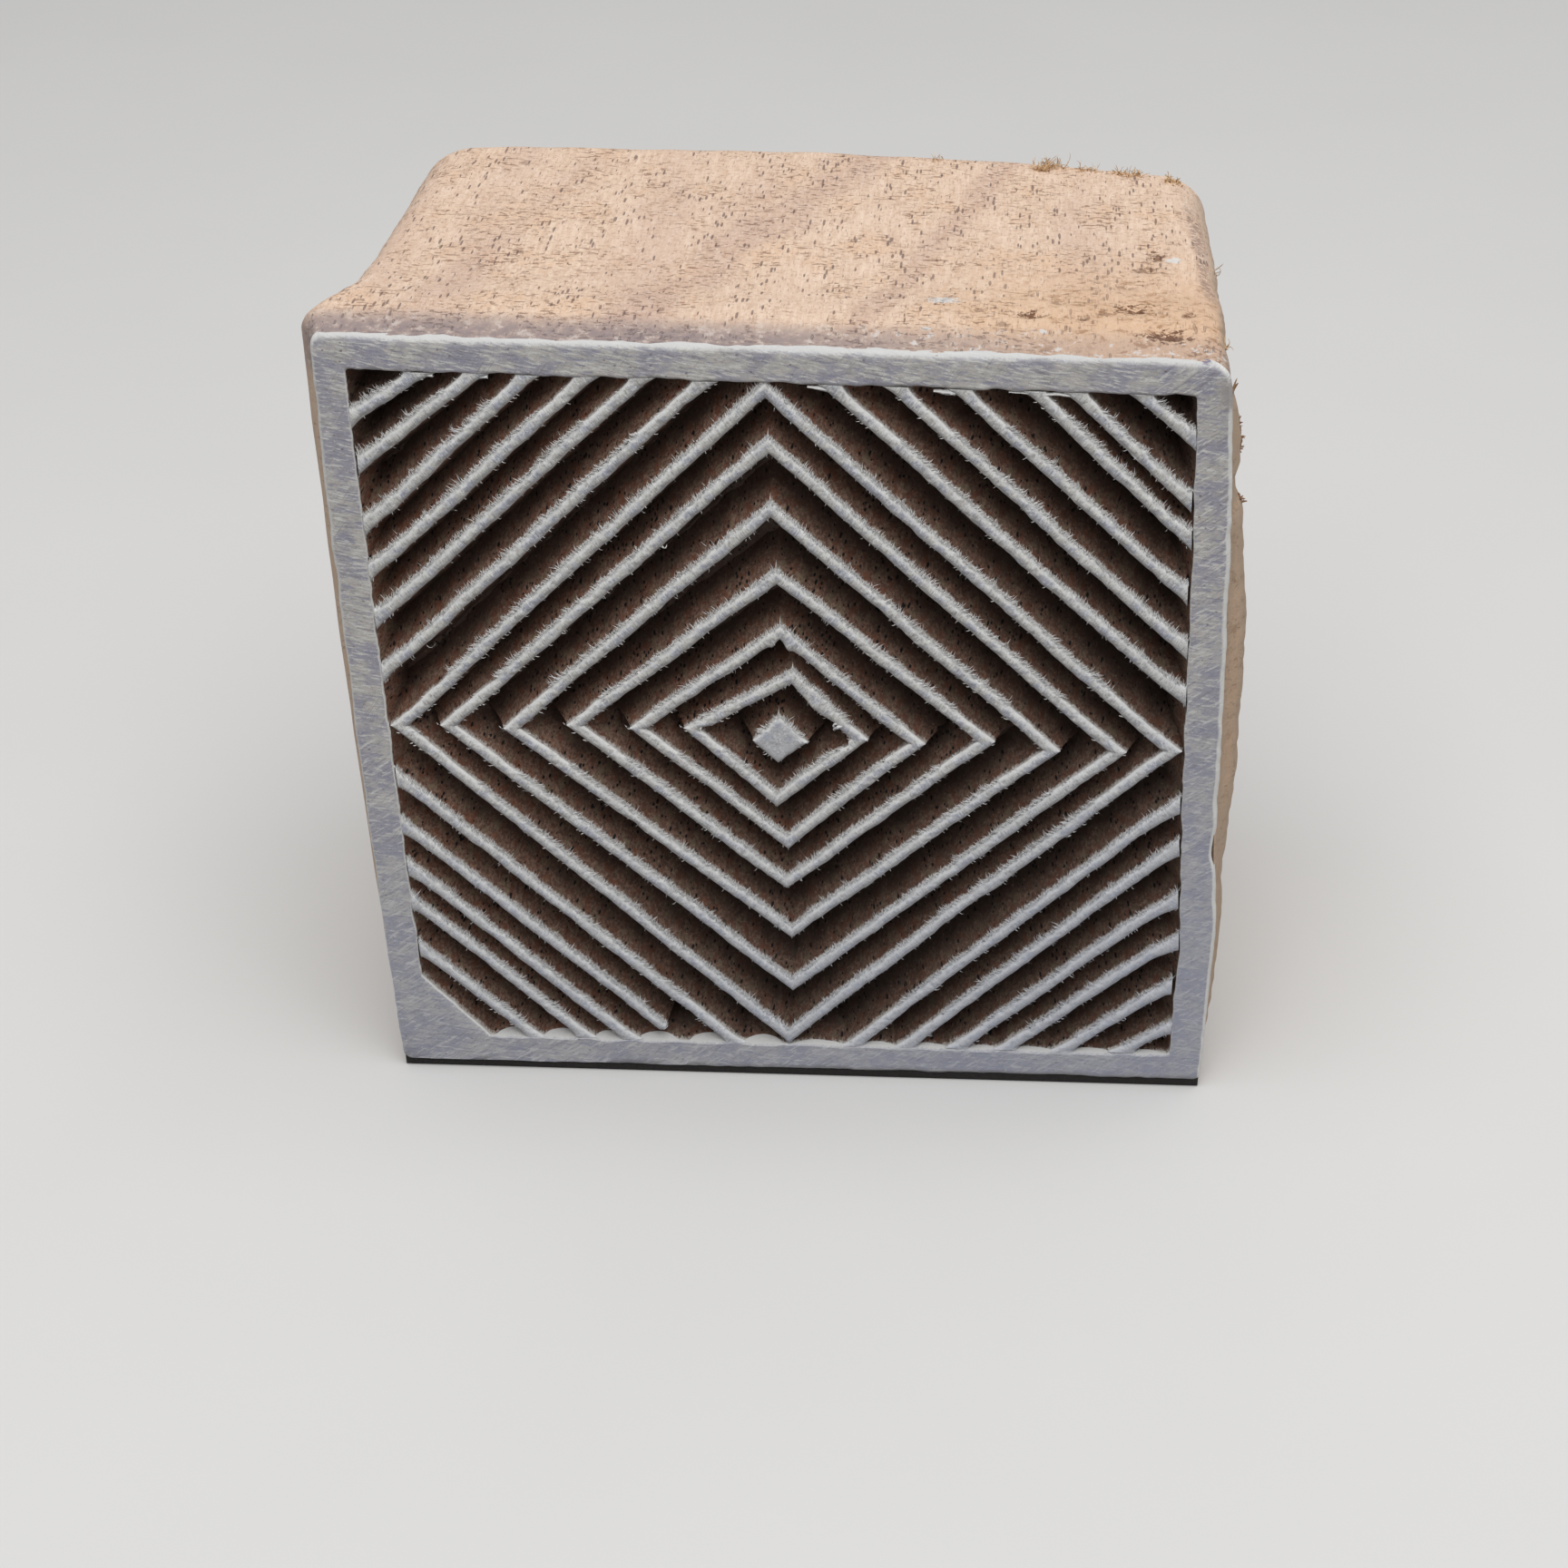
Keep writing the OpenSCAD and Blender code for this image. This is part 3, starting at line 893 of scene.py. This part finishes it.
def build():
    wood = [block_wood(), groove_wood()]
    chalk = [line_chalk()]
    block = timber()

    def raise_land(name, pairs, seed, ring, foot=None, spikes=()):
        """The timber ridge and the chalk of one line."""
        edges = cut_edges(pairs, seed)
        block.rows(ridge_rows(edges), 1, ring=ring)
        coat = Shell()
        coat.rows(coat_rows(edges), 0, ring=ring)
        fray(coat, edges)
        if foot:
            coat.rows(coat_rows(cut_edges(foot_pairs(*foot), seed + 15), FOOT_SUNK), 0)
        for at, way, size in spikes:
            spike(coat, at, way, *size)
        for flake in CURLS.get(name, []):
            curl(coat, *flake)
        coat.make(name.replace("_coat", "_chalk"), chalk, "chalk_coat", [name])

    centre_land(block, chalk)
    for k, tips in enumerate(DIAMONDS):
        outer = [Vector(p) for p in tips]
        seed = 100 + 30 * k
        spikes = []
        if k < len(DIAMONDS) - 1:
            spikes = [(strayed(outer[3], seed), Vector((0, 1)), UP_SPIKE),
                      (strayed(outer[0], seed), Vector((-1, 0.2)).normalized(), LEFT_SPIKE)]
        pairs = around(outer, inset(outer, LINE_W))
        raise_land(f"diamond_{k + 1}_coat", pairs, seed, True, spikes=spikes)
    for c, name in enumerate(CORNER_LINES):
        for k in range(len(CORNER_LINES[name][2])):
            raise_land(f"{name}_line_{k + 1}_coat", line_pairs(name, k), 400 + 200 * c + 30 * k, False,
                       foot=FEET.get((name, k)))
    border = Shell()
    border.rows(border_rows(), 0, ring=True)
    border.make("border_chalk", [border_chalk()], "chalk_coat", ["border_coat"])
    block.make("carved_timber", wood, "wood", ["wood_block"], sharp=50)
    tufts()


def centre_land(block, chalk):
    """The solid centre diamond: like a line, but closed over its middle."""
    corners = [Vector(p) for p in CENTRE_TIPS]
    middle = sum(corners, Vector((0, 0))) / len(corners)
    edges = []
    for a, b in around(corners, [c.lerp(middle, CENTRE_DRAWN_IN) for c in corners]):
        out = (a - b).normalized()
        a = strayed(a, 60)
        edges.append((a + out * growth(a, out, 70), b, out * CENTRE_LEAN))
    rows = []
    for draw_in, y in COAT_EDGE:
        rows.append([on_face(*(a - out.normalized() * draw_in), y) for a, b, out in edges])
    for share in CENTRE_SHARES:
        rows.append([on_face(*a.lerp(middle, share), CENTRE_Y + 0.04 * abs(waver(a.x, a.y, 5, 0.7)) * share)
                     for a, b, out in edges])
    coat = Shell()
    coat.rows(rows, 0, caps=False)
    count = len(edges)
    coat.fan((len(rows) - 1) * count, count, on_face(*middle, CENTRE_Y), 0)
    coat.fan(0, count, on_face(*middle, COAT_T), 0)
    fray(coat, edges)
    spike(coat, edges[count * 3 // 4][0], Vector((0, 1)), *UP_SPIKE)
    coat.make("centre_diamond_chalk", chalk, "chalk_coat", ["centre_diamond_coat"])
    walls = []
    for y, lean in WALL:
        rough = WALL_ROUGH * min(1, y)
        walls.append([on_face(*(a + out * (lean + rough * waver(a.x, a.y, y + 7, 1.2))), y)
                      for a, b, out in edges])
    block.rows(walls, 1)


def bark(x, v, y):
    """The place on the timber's outside nearest to a plan place, at a depth."""
    p, out = min(section(y, 0), key=lambda s: (s[0] - Vector((x, v))).length)
    return on_timber(p, out, y)


def tufts():
    """Curled fibres torn loose by the rasp."""
    shell = Shell()
    for (x, y, v), spread, count, length, radius, lean in TUFTS:
        upright = abs(x) > TUFT_SIDE_X
        for i in range(count):
            shift = about(spread)
            deep = y + about(TUFT_SPREAD_Y)
            root = bark(x, v + shift, deep) if upright else bark(x + shift, v, deep)
            way = Vector(lean) + Vector([about(TUFT_STRAY) for a in range(3)])
            axis = Vector([about(1) for a in range(3)]).normalized()
            turn = Matrix.Rotation(draw.uniform(*TUFT_CURL), 3, axis)
            step = way.normalized() * length * draw.uniform(*TUFT_SHARE) / TUFT_STEPS * MM
            path = [root - step]
            for s in range(TUFT_STEPS):
                path.append(path[-1] + step)
                step = turn @ step
            shell.needle(path, radius * draw.uniform(*TUFT_SHARE) * MM, sides=4)
    shell.make("torn_fibres", [fibre_wood()], "wood", [])


# Materials: feature sizes are in millimetres, colours are linear

class Graph:
    """A material's node tree, with a colour that is built up in layers."""

    def __init__(self, name):
        self.material = bpy.data.materials.new(name)
        self.material.use_nodes = True
        self.tree = self.material.node_tree
        self.shader = self.tree.nodes["Principled BSDF"]
        self.colour = None
        self.mm = self.stretch(self.node("TexCoord").outputs["Object"], (MM, MM, MM))
        place = self.node("SeparateXYZ", self.mm).outputs
        self.x = place["X"]
        self.z = place["Z"]
        self.depth = self.plus(place["Y"], DEPTH / 2)

    def put(self, socket, value):
        if isinstance(value, bpy.types.NodeSocket):
            self.tree.links.new(value, socket)
        else:
            socket.default_value = (*value, 1) if socket.type == "RGBA" else value

    def node(self, kind, *values, **named):
        """A new node with its first inputs and the named ones linked or set."""
        node = self.tree.nodes.new("ShaderNode" + kind)
        for socket, value in zip(node.inputs, values):
            self.put(socket, value)
        for name, value in named.items():
            self.put(node.inputs[name], value)
        return node

    def stretch(self, vector, sizes, turn=(0, 0, 0)):
        """Coordinates in which one unit has these sizes, after a turn."""
        node = self.node("Mapping", vector, Scale=sizes, Rotation=turn)
        node.vector_type = "TEXTURE"
        return node.outputs[0]

    def noise(self, sizes, detail=2.0, rough=0.5, slant=0):
        """Noise with features of these sizes along x, y and z, slanted on the face by degrees."""
        place = self.stretch(self.mm, sizes, (0, math.radians(slant), 0))
        return self.node("TexNoise", place, Scale=1, Detail=detail, Roughness=rough).outputs["Fac"]

    def cells(self, sizes):
        return self.node("TexVoronoi", self.stretch(self.mm, sizes), Scale=1).outputs["Distance"]

    def ramp(self, value, low, high, start=0.0, end=1.0):
        node = self.node("MapRange", value, low, high, start, end)
        node.interpolation_type = "SMOOTHSTEP"
        return node.outputs["Result"]

    def math(self, kind, a, b=0.0):
        node = self.node("Math", a, b)
        node.operation = kind
        return node.outputs[0]

    def plus(self, a, b):
        return self.math("ADD", a, b)

    def minus(self, a, b):
        return self.math("SUBTRACT", a, b)

    def times(self, value, *others):
        for other in others:
            value = self.math("MULTIPLY", value, other)
        return value

    def between(self, share, a, b):
        return self.node("MapRange", share, 0, 1, a, b).outputs["Result"]

    def mix(self, share, a, b):
        node = self.node("Mix", share)
        node.data_type = "RGBA"
        self.put(node.inputs[6], a)
        self.put(node.inputs[7], b)
        return node.outputs[2]

    def tint(self, colour, *shares):
        """Lays another colour over the colour, by the product of the shares."""
        self.colour = self.mix(self.times(*shares), self.colour, colour)

    def wash(self, value, low, high, share, colour):
        """Tints where a value passes from low to high, up to a share."""
        self.tint(colour, self.ramp(value, low, high, 0, share))

    def vector(self, kind, *values):
        node = self.node("VectorMath", *values)
        node.operation = kind
        return node.outputs

    def near(self, place, reach):
        """The distance from a place as a share of the reach."""
        away = self.vector("SUBTRACT", self.mm, place)[0]
        return self.vector("LENGTH", self.vector("DIVIDE", away, reach)[0])["Value"]

    def facing(self):
        return self.node("SeparateXYZ", self.node("NewGeometry").outputs["Normal"]).outputs

    def above(self):
        """The height above the face's middle."""
        return self.minus(self.z, MID_Z)

    def lower_right(self):
        """Grows toward the face's lower right corner, where the light falls off."""
        return self.minus(self.x, self.above())

    def done(self, roughness, height, distance, strength=1.0):
        bump = self.node("Bump", Distance=distance * MM, Strength=strength, Height=height)
        looks = {"Base Color": self.colour, "Roughness": roughness, "Normal": bump.outputs[0]}
        for name, value in looks.items():
            self.put(self.shader.inputs[name], value)
        return self.material


def block_wood():
    """Bare rasped wood: grain, growth bands, pores, the torn corner, chalk stains, dark speckles on the
    upper right arris, painted shade on the sides and a painted black shadow at the foot.
    """
    g = Graph("block_wood")
    facing = g.facing()
    broad = g.noise((9, 60, 9), 3)
    cloud = g.noise((4, 5, 4), 4, 0.6)
    streak = g.noise((0.28, 3, 0.28), 4, 0.7)
    wool = g.noise((0.4, 0.34, 0.36), 5, 0.85)
    spots = g.noise((0.9, 0.9, 0.9), 4, 0.7)
    g.colour = g.mix(g.ramp(streak, 0.32, 0.7), (0.83, 0.59, 0.43), (0.98, 0.765, 0.605))
    g.wash(cloud, 0.42, 0.72, 0.55, (0.87, 0.58, 0.38))
    g.wash(broad, 0.5, 0.66, 0.4, (0.72, 0.51, 0.41))
    top = g.ramp(facing["Z"], 0.3, 0.8)
    crowded = g.ramp(cloud, 0.42, 0.58)
    for x, slope, half, strength in GROWTH_BANDS:
        across = g.math("ABSOLUTE", g.minus(g.minus(g.x, x), g.times(g.depth, slope)))
        across = g.plus(across, g.ramp(cloud, 0.3, 0.7, -0.5 * half, 0.5 * half))
        band = g.times(g.ramp(across, 0.2 * half, 1.3 * half, strength, 0), top)
        g.tint((0.62, 0.41, 0.325), band)
        crowded = g.math("MAXIMUM", crowded, g.times(band, 2.2))
    year = g.plus(g.near((18, 0, -30), (4.2, 1000, 4.2)), g.times(broad, 1.1))
    year = g.ramp(g.math("SINE", g.times(year, 6)), 0.1, 1.0, 0, 0.35)
    g.tint((0.6, 0.39, 0.28), year, g.ramp(facing["Y"], 0.4, 0.8))
    g.wash(wool, 0.53, 0.66, 0.75, (0.5, 0.3, 0.19))
    g.wash(wool, 0.47, 0.33, 0.7, (1.0, 0.86, 0.72))
    rasp = g.ramp(g.noise((0.7, 0.26, 0.5), 3, 0.6), 0.57, 0.65)
    rasp = g.times(rasp, crowded, g.ramp(facing["Z"], 0.2, 0.7, 0.3, 1))
    g.tint((0.3, 0.12, 0.07), rasp, 0.65)
    torn = g.times(g.ramp(g.x, 6, 24), g.ramp(g.depth, 22, 6))
    shred = g.ramp(g.noise((1.3, 1.0, 0.9), 5, 0.7), 0.53, 0.66)
    g.tint((0.84, 0.53, 0.3), torn, 0.5)
    g.tint((0.42, 0.21, 0.09), torn, shred, 0.8)
    faint = g.ramp(g.cells((0.24, 1.6, 0.24)), 0.14, 0.3, 1, 0)
    g.tint((0.45, 0.28, 0.21), faint, 0.45)
    reach = g.ramp(g.noise((2.4, 6, 2.4)), 0.36, 0.62, 0.07, 0.275)
    pore = g.ramp(g.minus(g.cells((0.34, 2.2, 0.34)), reach), -0.1, 0.03, 1, 0)
    g.tint((0.18, 0.11, 0.105), pore, g.ramp(torn, 0, 1, 0.7, 0.3))

    def on_top(x, y, rx, ry):
        return g.near((x, y - DEPTH / 2, TOP_Z - 0.8), (rx, ry, 2))

    ragged = g.ramp(g.noise((0.6, 0.6, 0.6), 4, 0.75), 0.32, 0.68, -0.9, 0.9)
    for x, y, rx, ry, d in PITS:
        away = g.plus(on_top(x, y, rx, ry), ragged)
        g.tint((0.17, 0.07, 0.03), g.ramp(away, 0.5, 1.1, min(0.95, 2.6 * d), 0))
    crumbly = g.ramp(wool, 0.3, 0.7, -0.4, 0.4)
    for dab in DABS:
        g.tint((0.85, 0.83, 0.8), g.ramp(g.plus(on_top(*dab), crumbly), 0.75, 1.0, 0.9, 0))
    # Painted shade: the sides are darkened by how far they face sideways, half as much toward the back.
    beside = g.ramp(g.math("ABSOLUTE", facing["X"]), 0.5, 0.95, 0, 0.75)
    g.tint((0.52, 0.4, 0.3), beside, g.ramp(g.depth, 6, 24, 1, 0.5))
    corner = g.times(g.ramp(facing["X"], 0.2, 0.4), g.ramp(facing["X"], 0.8, 0.55))
    corner = g.times(corner, g.ramp(g.depth, 8, 13), g.ramp(g.depth, 34, 24))
    g.tint((0.36, 0.24, 0.2), corner, g.ramp(wool, 0.42, 0.54, 0, 0.75))
    stain = g.times(g.ramp(g.depth, 1.6, 4.2, 1, 0), g.ramp(g.z, TOP_Z - 4, TOP_Z - 2))
    cloudy = g.times(g.ramp(spots, 0.3, 0.6, 0.6, 1), g.ramp(g.x, -6, 28, 1, 0.4))
    g.tint((0.36, 0.285, 0.28), stain, cloudy)
    specks = g.times(stain, g.ramp(g.x, 0, 12, 0.4, 0.85), g.ramp(spots, 0.44, 0.37))
    g.tint((0.78, 0.75, 0.74), specks)
    # Painted shadow: the timber at the foot, under the chalk's lower edge, is near black.
    g.tint((0.012, 0.01, 0.009), g.ramp(g.z, 1.35, 1.1), g.ramp(g.depth, 0.8, 0.4))
    height = g.minus(g.plus(g.times(streak, 0.5), wool), g.plus(pore, rasp))
    return g.done(g.ramp(streak, 0.2, 0.8, 0.66, 0.85), height, 0.14, 0.9)


def groove_wood():
    """Stained end grain in the grooves: rust, pores, dark floors, chalk dust on upper edges, painted shade
    toward the lower right and in the upper corners.
    """
    g = Graph("groove_wood")
    patch = g.noise((2.0, 4, 2.0), 4, 0.6)
    fine = g.noise((0.22, 0.4, 0.22), 5, 0.8)
    rust = g.noise((0.7, 1.4, 0.7), 4, 0.7)
    g.colour = g.mix(g.ramp(fine, 0.38, 0.62), (0.12, 0.062, 0.044), (0.38, 0.24, 0.175))
    g.wash(rust, 0.5, 0.62, 0.7, (0.24, 0.085, 0.042))
    g.wash(rust, 0.46, 0.36, 0.6, (0.3, 0.245, 0.15))
    deep = g.ramp(g.plus(g.depth, g.ramp(patch, 0.3, 0.7, -0.5, 0.5)), 1.0, 3.6)
    g.tint((0.06, 0.037, 0.028), deep, 0.8)
    # Painted shade: the grooves darken toward the face's lower right corner.
    g.wash(g.lower_right(), -40, 50, 0.5, (0.03, 0.024, 0.02))
    # Painted shade: the grooves in the opening's upper corners are near black.
    g.wash(g.plus(g.math("ABSOLUTE", g.x), g.above()), 48, 56, 0.6, (0.02, 0.014, 0.011))
    g.wash(fine, 0.6, 0.7, 0.7, (0.42, 0.31, 0.23))
    reach = g.ramp(g.noise((2, 3, 2)), 0.36, 0.64, 0.08, 0.26)
    pore = g.ramp(g.minus(g.cells((0.42, 0.9, 0.42)), reach), -0.03, 0.02, 1, 0)
    vessel = g.ramp(g.cells((0.8, 4, 0.8)), 0.1, 0.16, 1, 0)
    pore = g.math("MAXIMUM", pore, vessel)
    g.tint((0.006, 0.005, 0.005), pore)
    edge = g.plus(g.depth, g.ramp(fine, 0.25, 0.75, 0.3, -0.3))
    dust = g.times(g.ramp(edge, 0.3, 0.75, 0.9, 0), g.ramp(g.facing()["Z"], 0.0, 0.35))
    g.tint((0.66, 0.64, 0.61), dust)
    return g.done(g.ramp(fine, 0.2, 0.8, 0.6, 0.8), g.minus(fine, pore), 0.1, 0.8)


def chalk_edges_and_shading(g, crumb, rim_and_highlight_white, lift, cooler):
    """Cools the chalk toward the bottom, paints highlight on upper edges, whitens rims as chalk and as
    painted highlight, and paints shade on lower edges.
    """
    g.wash(g.z, MID_Z + 8, MID_Z - 26, 0.35, cooler)
    white = (rim_and_highlight_white, rim_and_highlight_white, 0.985 * rim_and_highlight_white)
    up = g.facing()["Z"]
    # Painted highlight: chalk that faces up is whitened.
    g.wash(up, 0.04, 0.3, lift, white)
    # Rims are whitened as chalk and as painted highlight, except where they face down.
    rim = g.plus(g.depth, g.ramp(crumb, 0.3, 0.7, -0.08, 0.08))
    g.tint(white, g.ramp(rim, 0.04, 0.14, 0, 0.9), g.ramp(up, -0.5, 0.0))
    # Painted shade: chalk that faces down is greyed.
    g.wash(up, -0.03, -0.32, 0.7, (0.26, 0.245, 0.24))


def chalk_done(g, crumb, height):
    height = g.plus(crumb, height)
    return g.done(g.ramp(crumb, 0.2, 0.8, 0.75, 0.92), height, 0.13, 0.9)


def border_chalk():
    """Brushed chalk: lilac and cream patches under short pale strokes, scratches and specks."""
    g = Graph("border_chalk")
    patch = g.noise((2.6, 3, 1.8), 3, 0.6)
    blotch = g.noise((1.1, 2, 0.7), 4, 0.65)
    flat = g.noise((1.3, 1, 0.2), 3, 0.6, 7)
    falling = g.noise((1.2, 1, 0.18), 3, 0.6, 14)
    rising = g.noise((1.5, 1, 0.2), 3, 0.6, -34)
    cross = g.between(g.math("MAXIMUM", g.ramp(g.x, 24, 28), g.ramp(g.z, 36, 30)), falling, rising)
    crumb = g.noise((0.2, 0.5, 0.16), 5, 0.8)
    g.colour = g.mix(g.ramp(patch, 0.4, 0.6), (0.66, 0.635, 0.6), (0.455, 0.445, 0.515))
    g.wash(blotch, 0.54, 0.68, 0.7, (0.45, 0.435, 0.435))
    g.wash(blotch, 0.44, 0.34, 0.5, (0.64, 0.575, 0.565))
    g.wash(flat, 0.45, 0.36, 0.75, (0.36, 0.36, 0.48))
    g.wash(flat, 0.57, 0.64, 0.85, (0.88, 0.87, 0.83))
    g.wash(cross, 0.57, 0.64, 0.9, (0.86, 0.845, 0.81))
    g.wash(cross, 0.43, 0.34, 0.7, (0.32, 0.3, 0.345))
    g.wash(g.noise((3, 2, 0.09), 2, 0.5, -55), 0.63, 0.7, 0.5, (0.28, 0.265, 0.255))
    g.wash(crumb, 0.55, 0.67, 0.6, (0.86, 0.845, 0.81))
    g.wash(crumb, 0.44, 0.33, 0.6, (0.3, 0.27, 0.29))
    speck = g.ramp(g.cells((1.1, 2, 0.9)), 0.06, 0.12, 1, 0)
    g.tint((0.19, 0.15, 0.17), speck, 0.7)
    scribe = g.math("ABSOLUTE", g.minus(g.z, SCRIBE_Z))
    g.tint((0.25, 0.24, 0.24), g.ramp(scribe, 0.05, 0.16, 0.3, 0), g.ramp(g.x, -25, -25.6))
    # Painted shade: the border turns darker and bluer toward the face's lower right corner.
    g.wash(g.lower_right(), 10, 50, 0.3, (0.42, 0.46, 0.6))
    chalk_edges_and_shading(g, crumb, 0.74, 0.3, (0.45, 0.48, 0.6))
    # Painted highlight: the border's sides are whitened, the right side more than the left.
    sideways = g.facing()["X"]
    sides = g.plus(g.ramp(sideways, 0.2, 0.6, 0, 0.9), g.ramp(sideways, -0.2, -0.6, 0, 0.35))
    g.tint((0.97, 0.965, 0.94), sides)
    ragged = g.ramp(crumb, 0.3, 0.7, -0.3, 0.3)
    for place, reach, tint in CORNER_WEAR:
        g.tint(tint, g.ramp(g.plus(g.near(place, reach), ragged), 0.5, 1.1, 0.8, 0))
    return chalk_done(g, crumb, g.times(g.plus(flat, cross), 0.5))


def line_chalk():
    """Worn chalk on the lines: white and cream with lilac patches, and fibres across each line."""
    g = Graph("line_chalk")
    patch = g.noise((1.8, 2, 1.4), 3, 0.6)
    blotch = g.noise((0.6, 1, 0.5), 4, 0.7)
    crumb = g.noise((0.2, 0.5, 0.18), 4, 0.75)
    falling = g.noise((0.6, 1, 0.1), 2, 0.6, 55)
    rising = g.noise((0.6, 1, 0.1), 2, 0.6, -55)
    fibre = g.between(g.ramp(g.times(g.x, g.above()), -3, 3), falling, rising)
    g.colour = g.mix(g.ramp(patch, 0.38, 0.54), (0.5, 0.52, 0.62), (0.7, 0.69, 0.66))
    g.wash(blotch, 0.54, 0.68, 0.7, (0.91, 0.915, 0.905))
    g.wash(blotch, 0.46, 0.34, 0.7, (0.38, 0.37, 0.375))
    g.wash(fibre, 0.55, 0.66, 0.7, (0.96, 0.965, 0.955))
    g.wash(fibre, 0.45, 0.34, 0.7, (0.35, 0.35, 0.37))
    g.wash(crumb, 0.56, 0.68, 0.6, (0.96, 0.965, 0.955))
    g.wash(crumb, 0.43, 0.32, 0.6, (0.27, 0.235, 0.22))
    centre = g.near((-0.3, -DEPTH / 2, MID_Z - 0.6), (3, 3, 3))
    g.tint((0.5, 0.53, 0.64), g.ramp(centre, 0.8, 1, 0.35, 0))
    chalk_edges_and_shading(g, crumb, 0.98, 0.8, (0.62, 0.65, 0.75))
    # Painted shade: the lines turn darker and bluer toward the bottom and the lower right corner.
    painted_shade = g.plus(g.ramp(g.z, MID_Z, MID_Z - 28, 0, 0.15), g.ramp(g.lower_right(), 5, 50, 0, 0.3))
    g.tint((0.5, 0.54, 0.66), painted_shade)
    return chalk_done(g, crumb, g.times(g.plus(blotch, fibre), 0.6))


def fibre_wood():
    g = Graph("fibre_wood")
    tone = g.noise((0.5, 0.5, 0.5))
    g.colour = g.mix(g.ramp(tone, 0.35, 0.65), (0.42, 0.24, 0.11), (0.78, 0.56, 0.33))
    g.wash(g.x, 31.8, 33.0, 0.7, (0.18, 0.06, 0.04))
    return g.done(0.7, tone, 0.02, 0.3)


# Stage

def aimed(at, aim):
    """A place and turn from which -Z looks at an aim, in metres."""
    turn = (Vector(aim) - Vector(at)).to_track_quat("-Z", "Y").to_matrix().to_4x4()
    return Matrix.Translation(at) @ turn


def add_camera():
    data = bpy.data.cameras.new("camera")
    data.lens = LENS_MM
    data.sensor_width = SENSOR_MM
    data.sensor_height = SENSOR_MM
    data.sensor_fit = "HORIZONTAL"
    data.clip_start = 0.01
    camera = add_object("camera", data)
    place = aimed(Vector(CAMERA_AT) * MM, Vector(CAMERA_AIM) * MM)
    camera.matrix_world = place @ Matrix.Rotation(-CAMERA_ROLL, 4, "Z")
    bpy.context.scene.camera = camera


def add_floor():
    """A pale floor that throws less light on the object than its look would."""
    mesh = bpy.data.meshes.new("floor")
    r = GROUND_HALF
    mesh.from_pydata([(-r, -r, 0), (r, -r, 0), (r, r, 0), (-r, r, 0)], [], [(0, 1, 2, 3)])
    floor = add_object("floor", mesh)
    g = Graph("floor")
    tone = g.noise((40, 40, 40), 3)
    seen = g.mix(tone, (0.74, 0.735, 0.725), (0.78, 0.775, 0.765))
    path = g.node("LightPath").outputs
    looked_at = g.math("MAXIMUM", path["Is Glossy Ray"], path["Is Transmission Ray"])
    looked_at = g.math("MAXIMUM", path["Is Camera Ray"], looked_at)
    g.colour = g.mix(looked_at, (0.44, 0.435, 0.425), seen)
    mesh.materials.append(g.done(0.9, tone, 0.05, 0.1))


def add_light():
    world = bpy.data.worlds.new("world")
    bpy.context.scene.world = world
    world.use_nodes = True
    back = world.node_tree.nodes["Background"]
    back.inputs["Color"].default_value = (1, 1, 1, 1)
    back.inputs["Strength"].default_value = SKY
    data = bpy.data.lights.new("key", "AREA")
    data.energy = LAMP_WATTS
    data.size = LAMP_SIZE
    add_object("key", data).matrix_world = aimed(LAMP_AT, LAMP_AIM)


bpy.context.scene.view_settings.view_transform = "Standard"
add_camera()
add_floor()
add_light()
build()
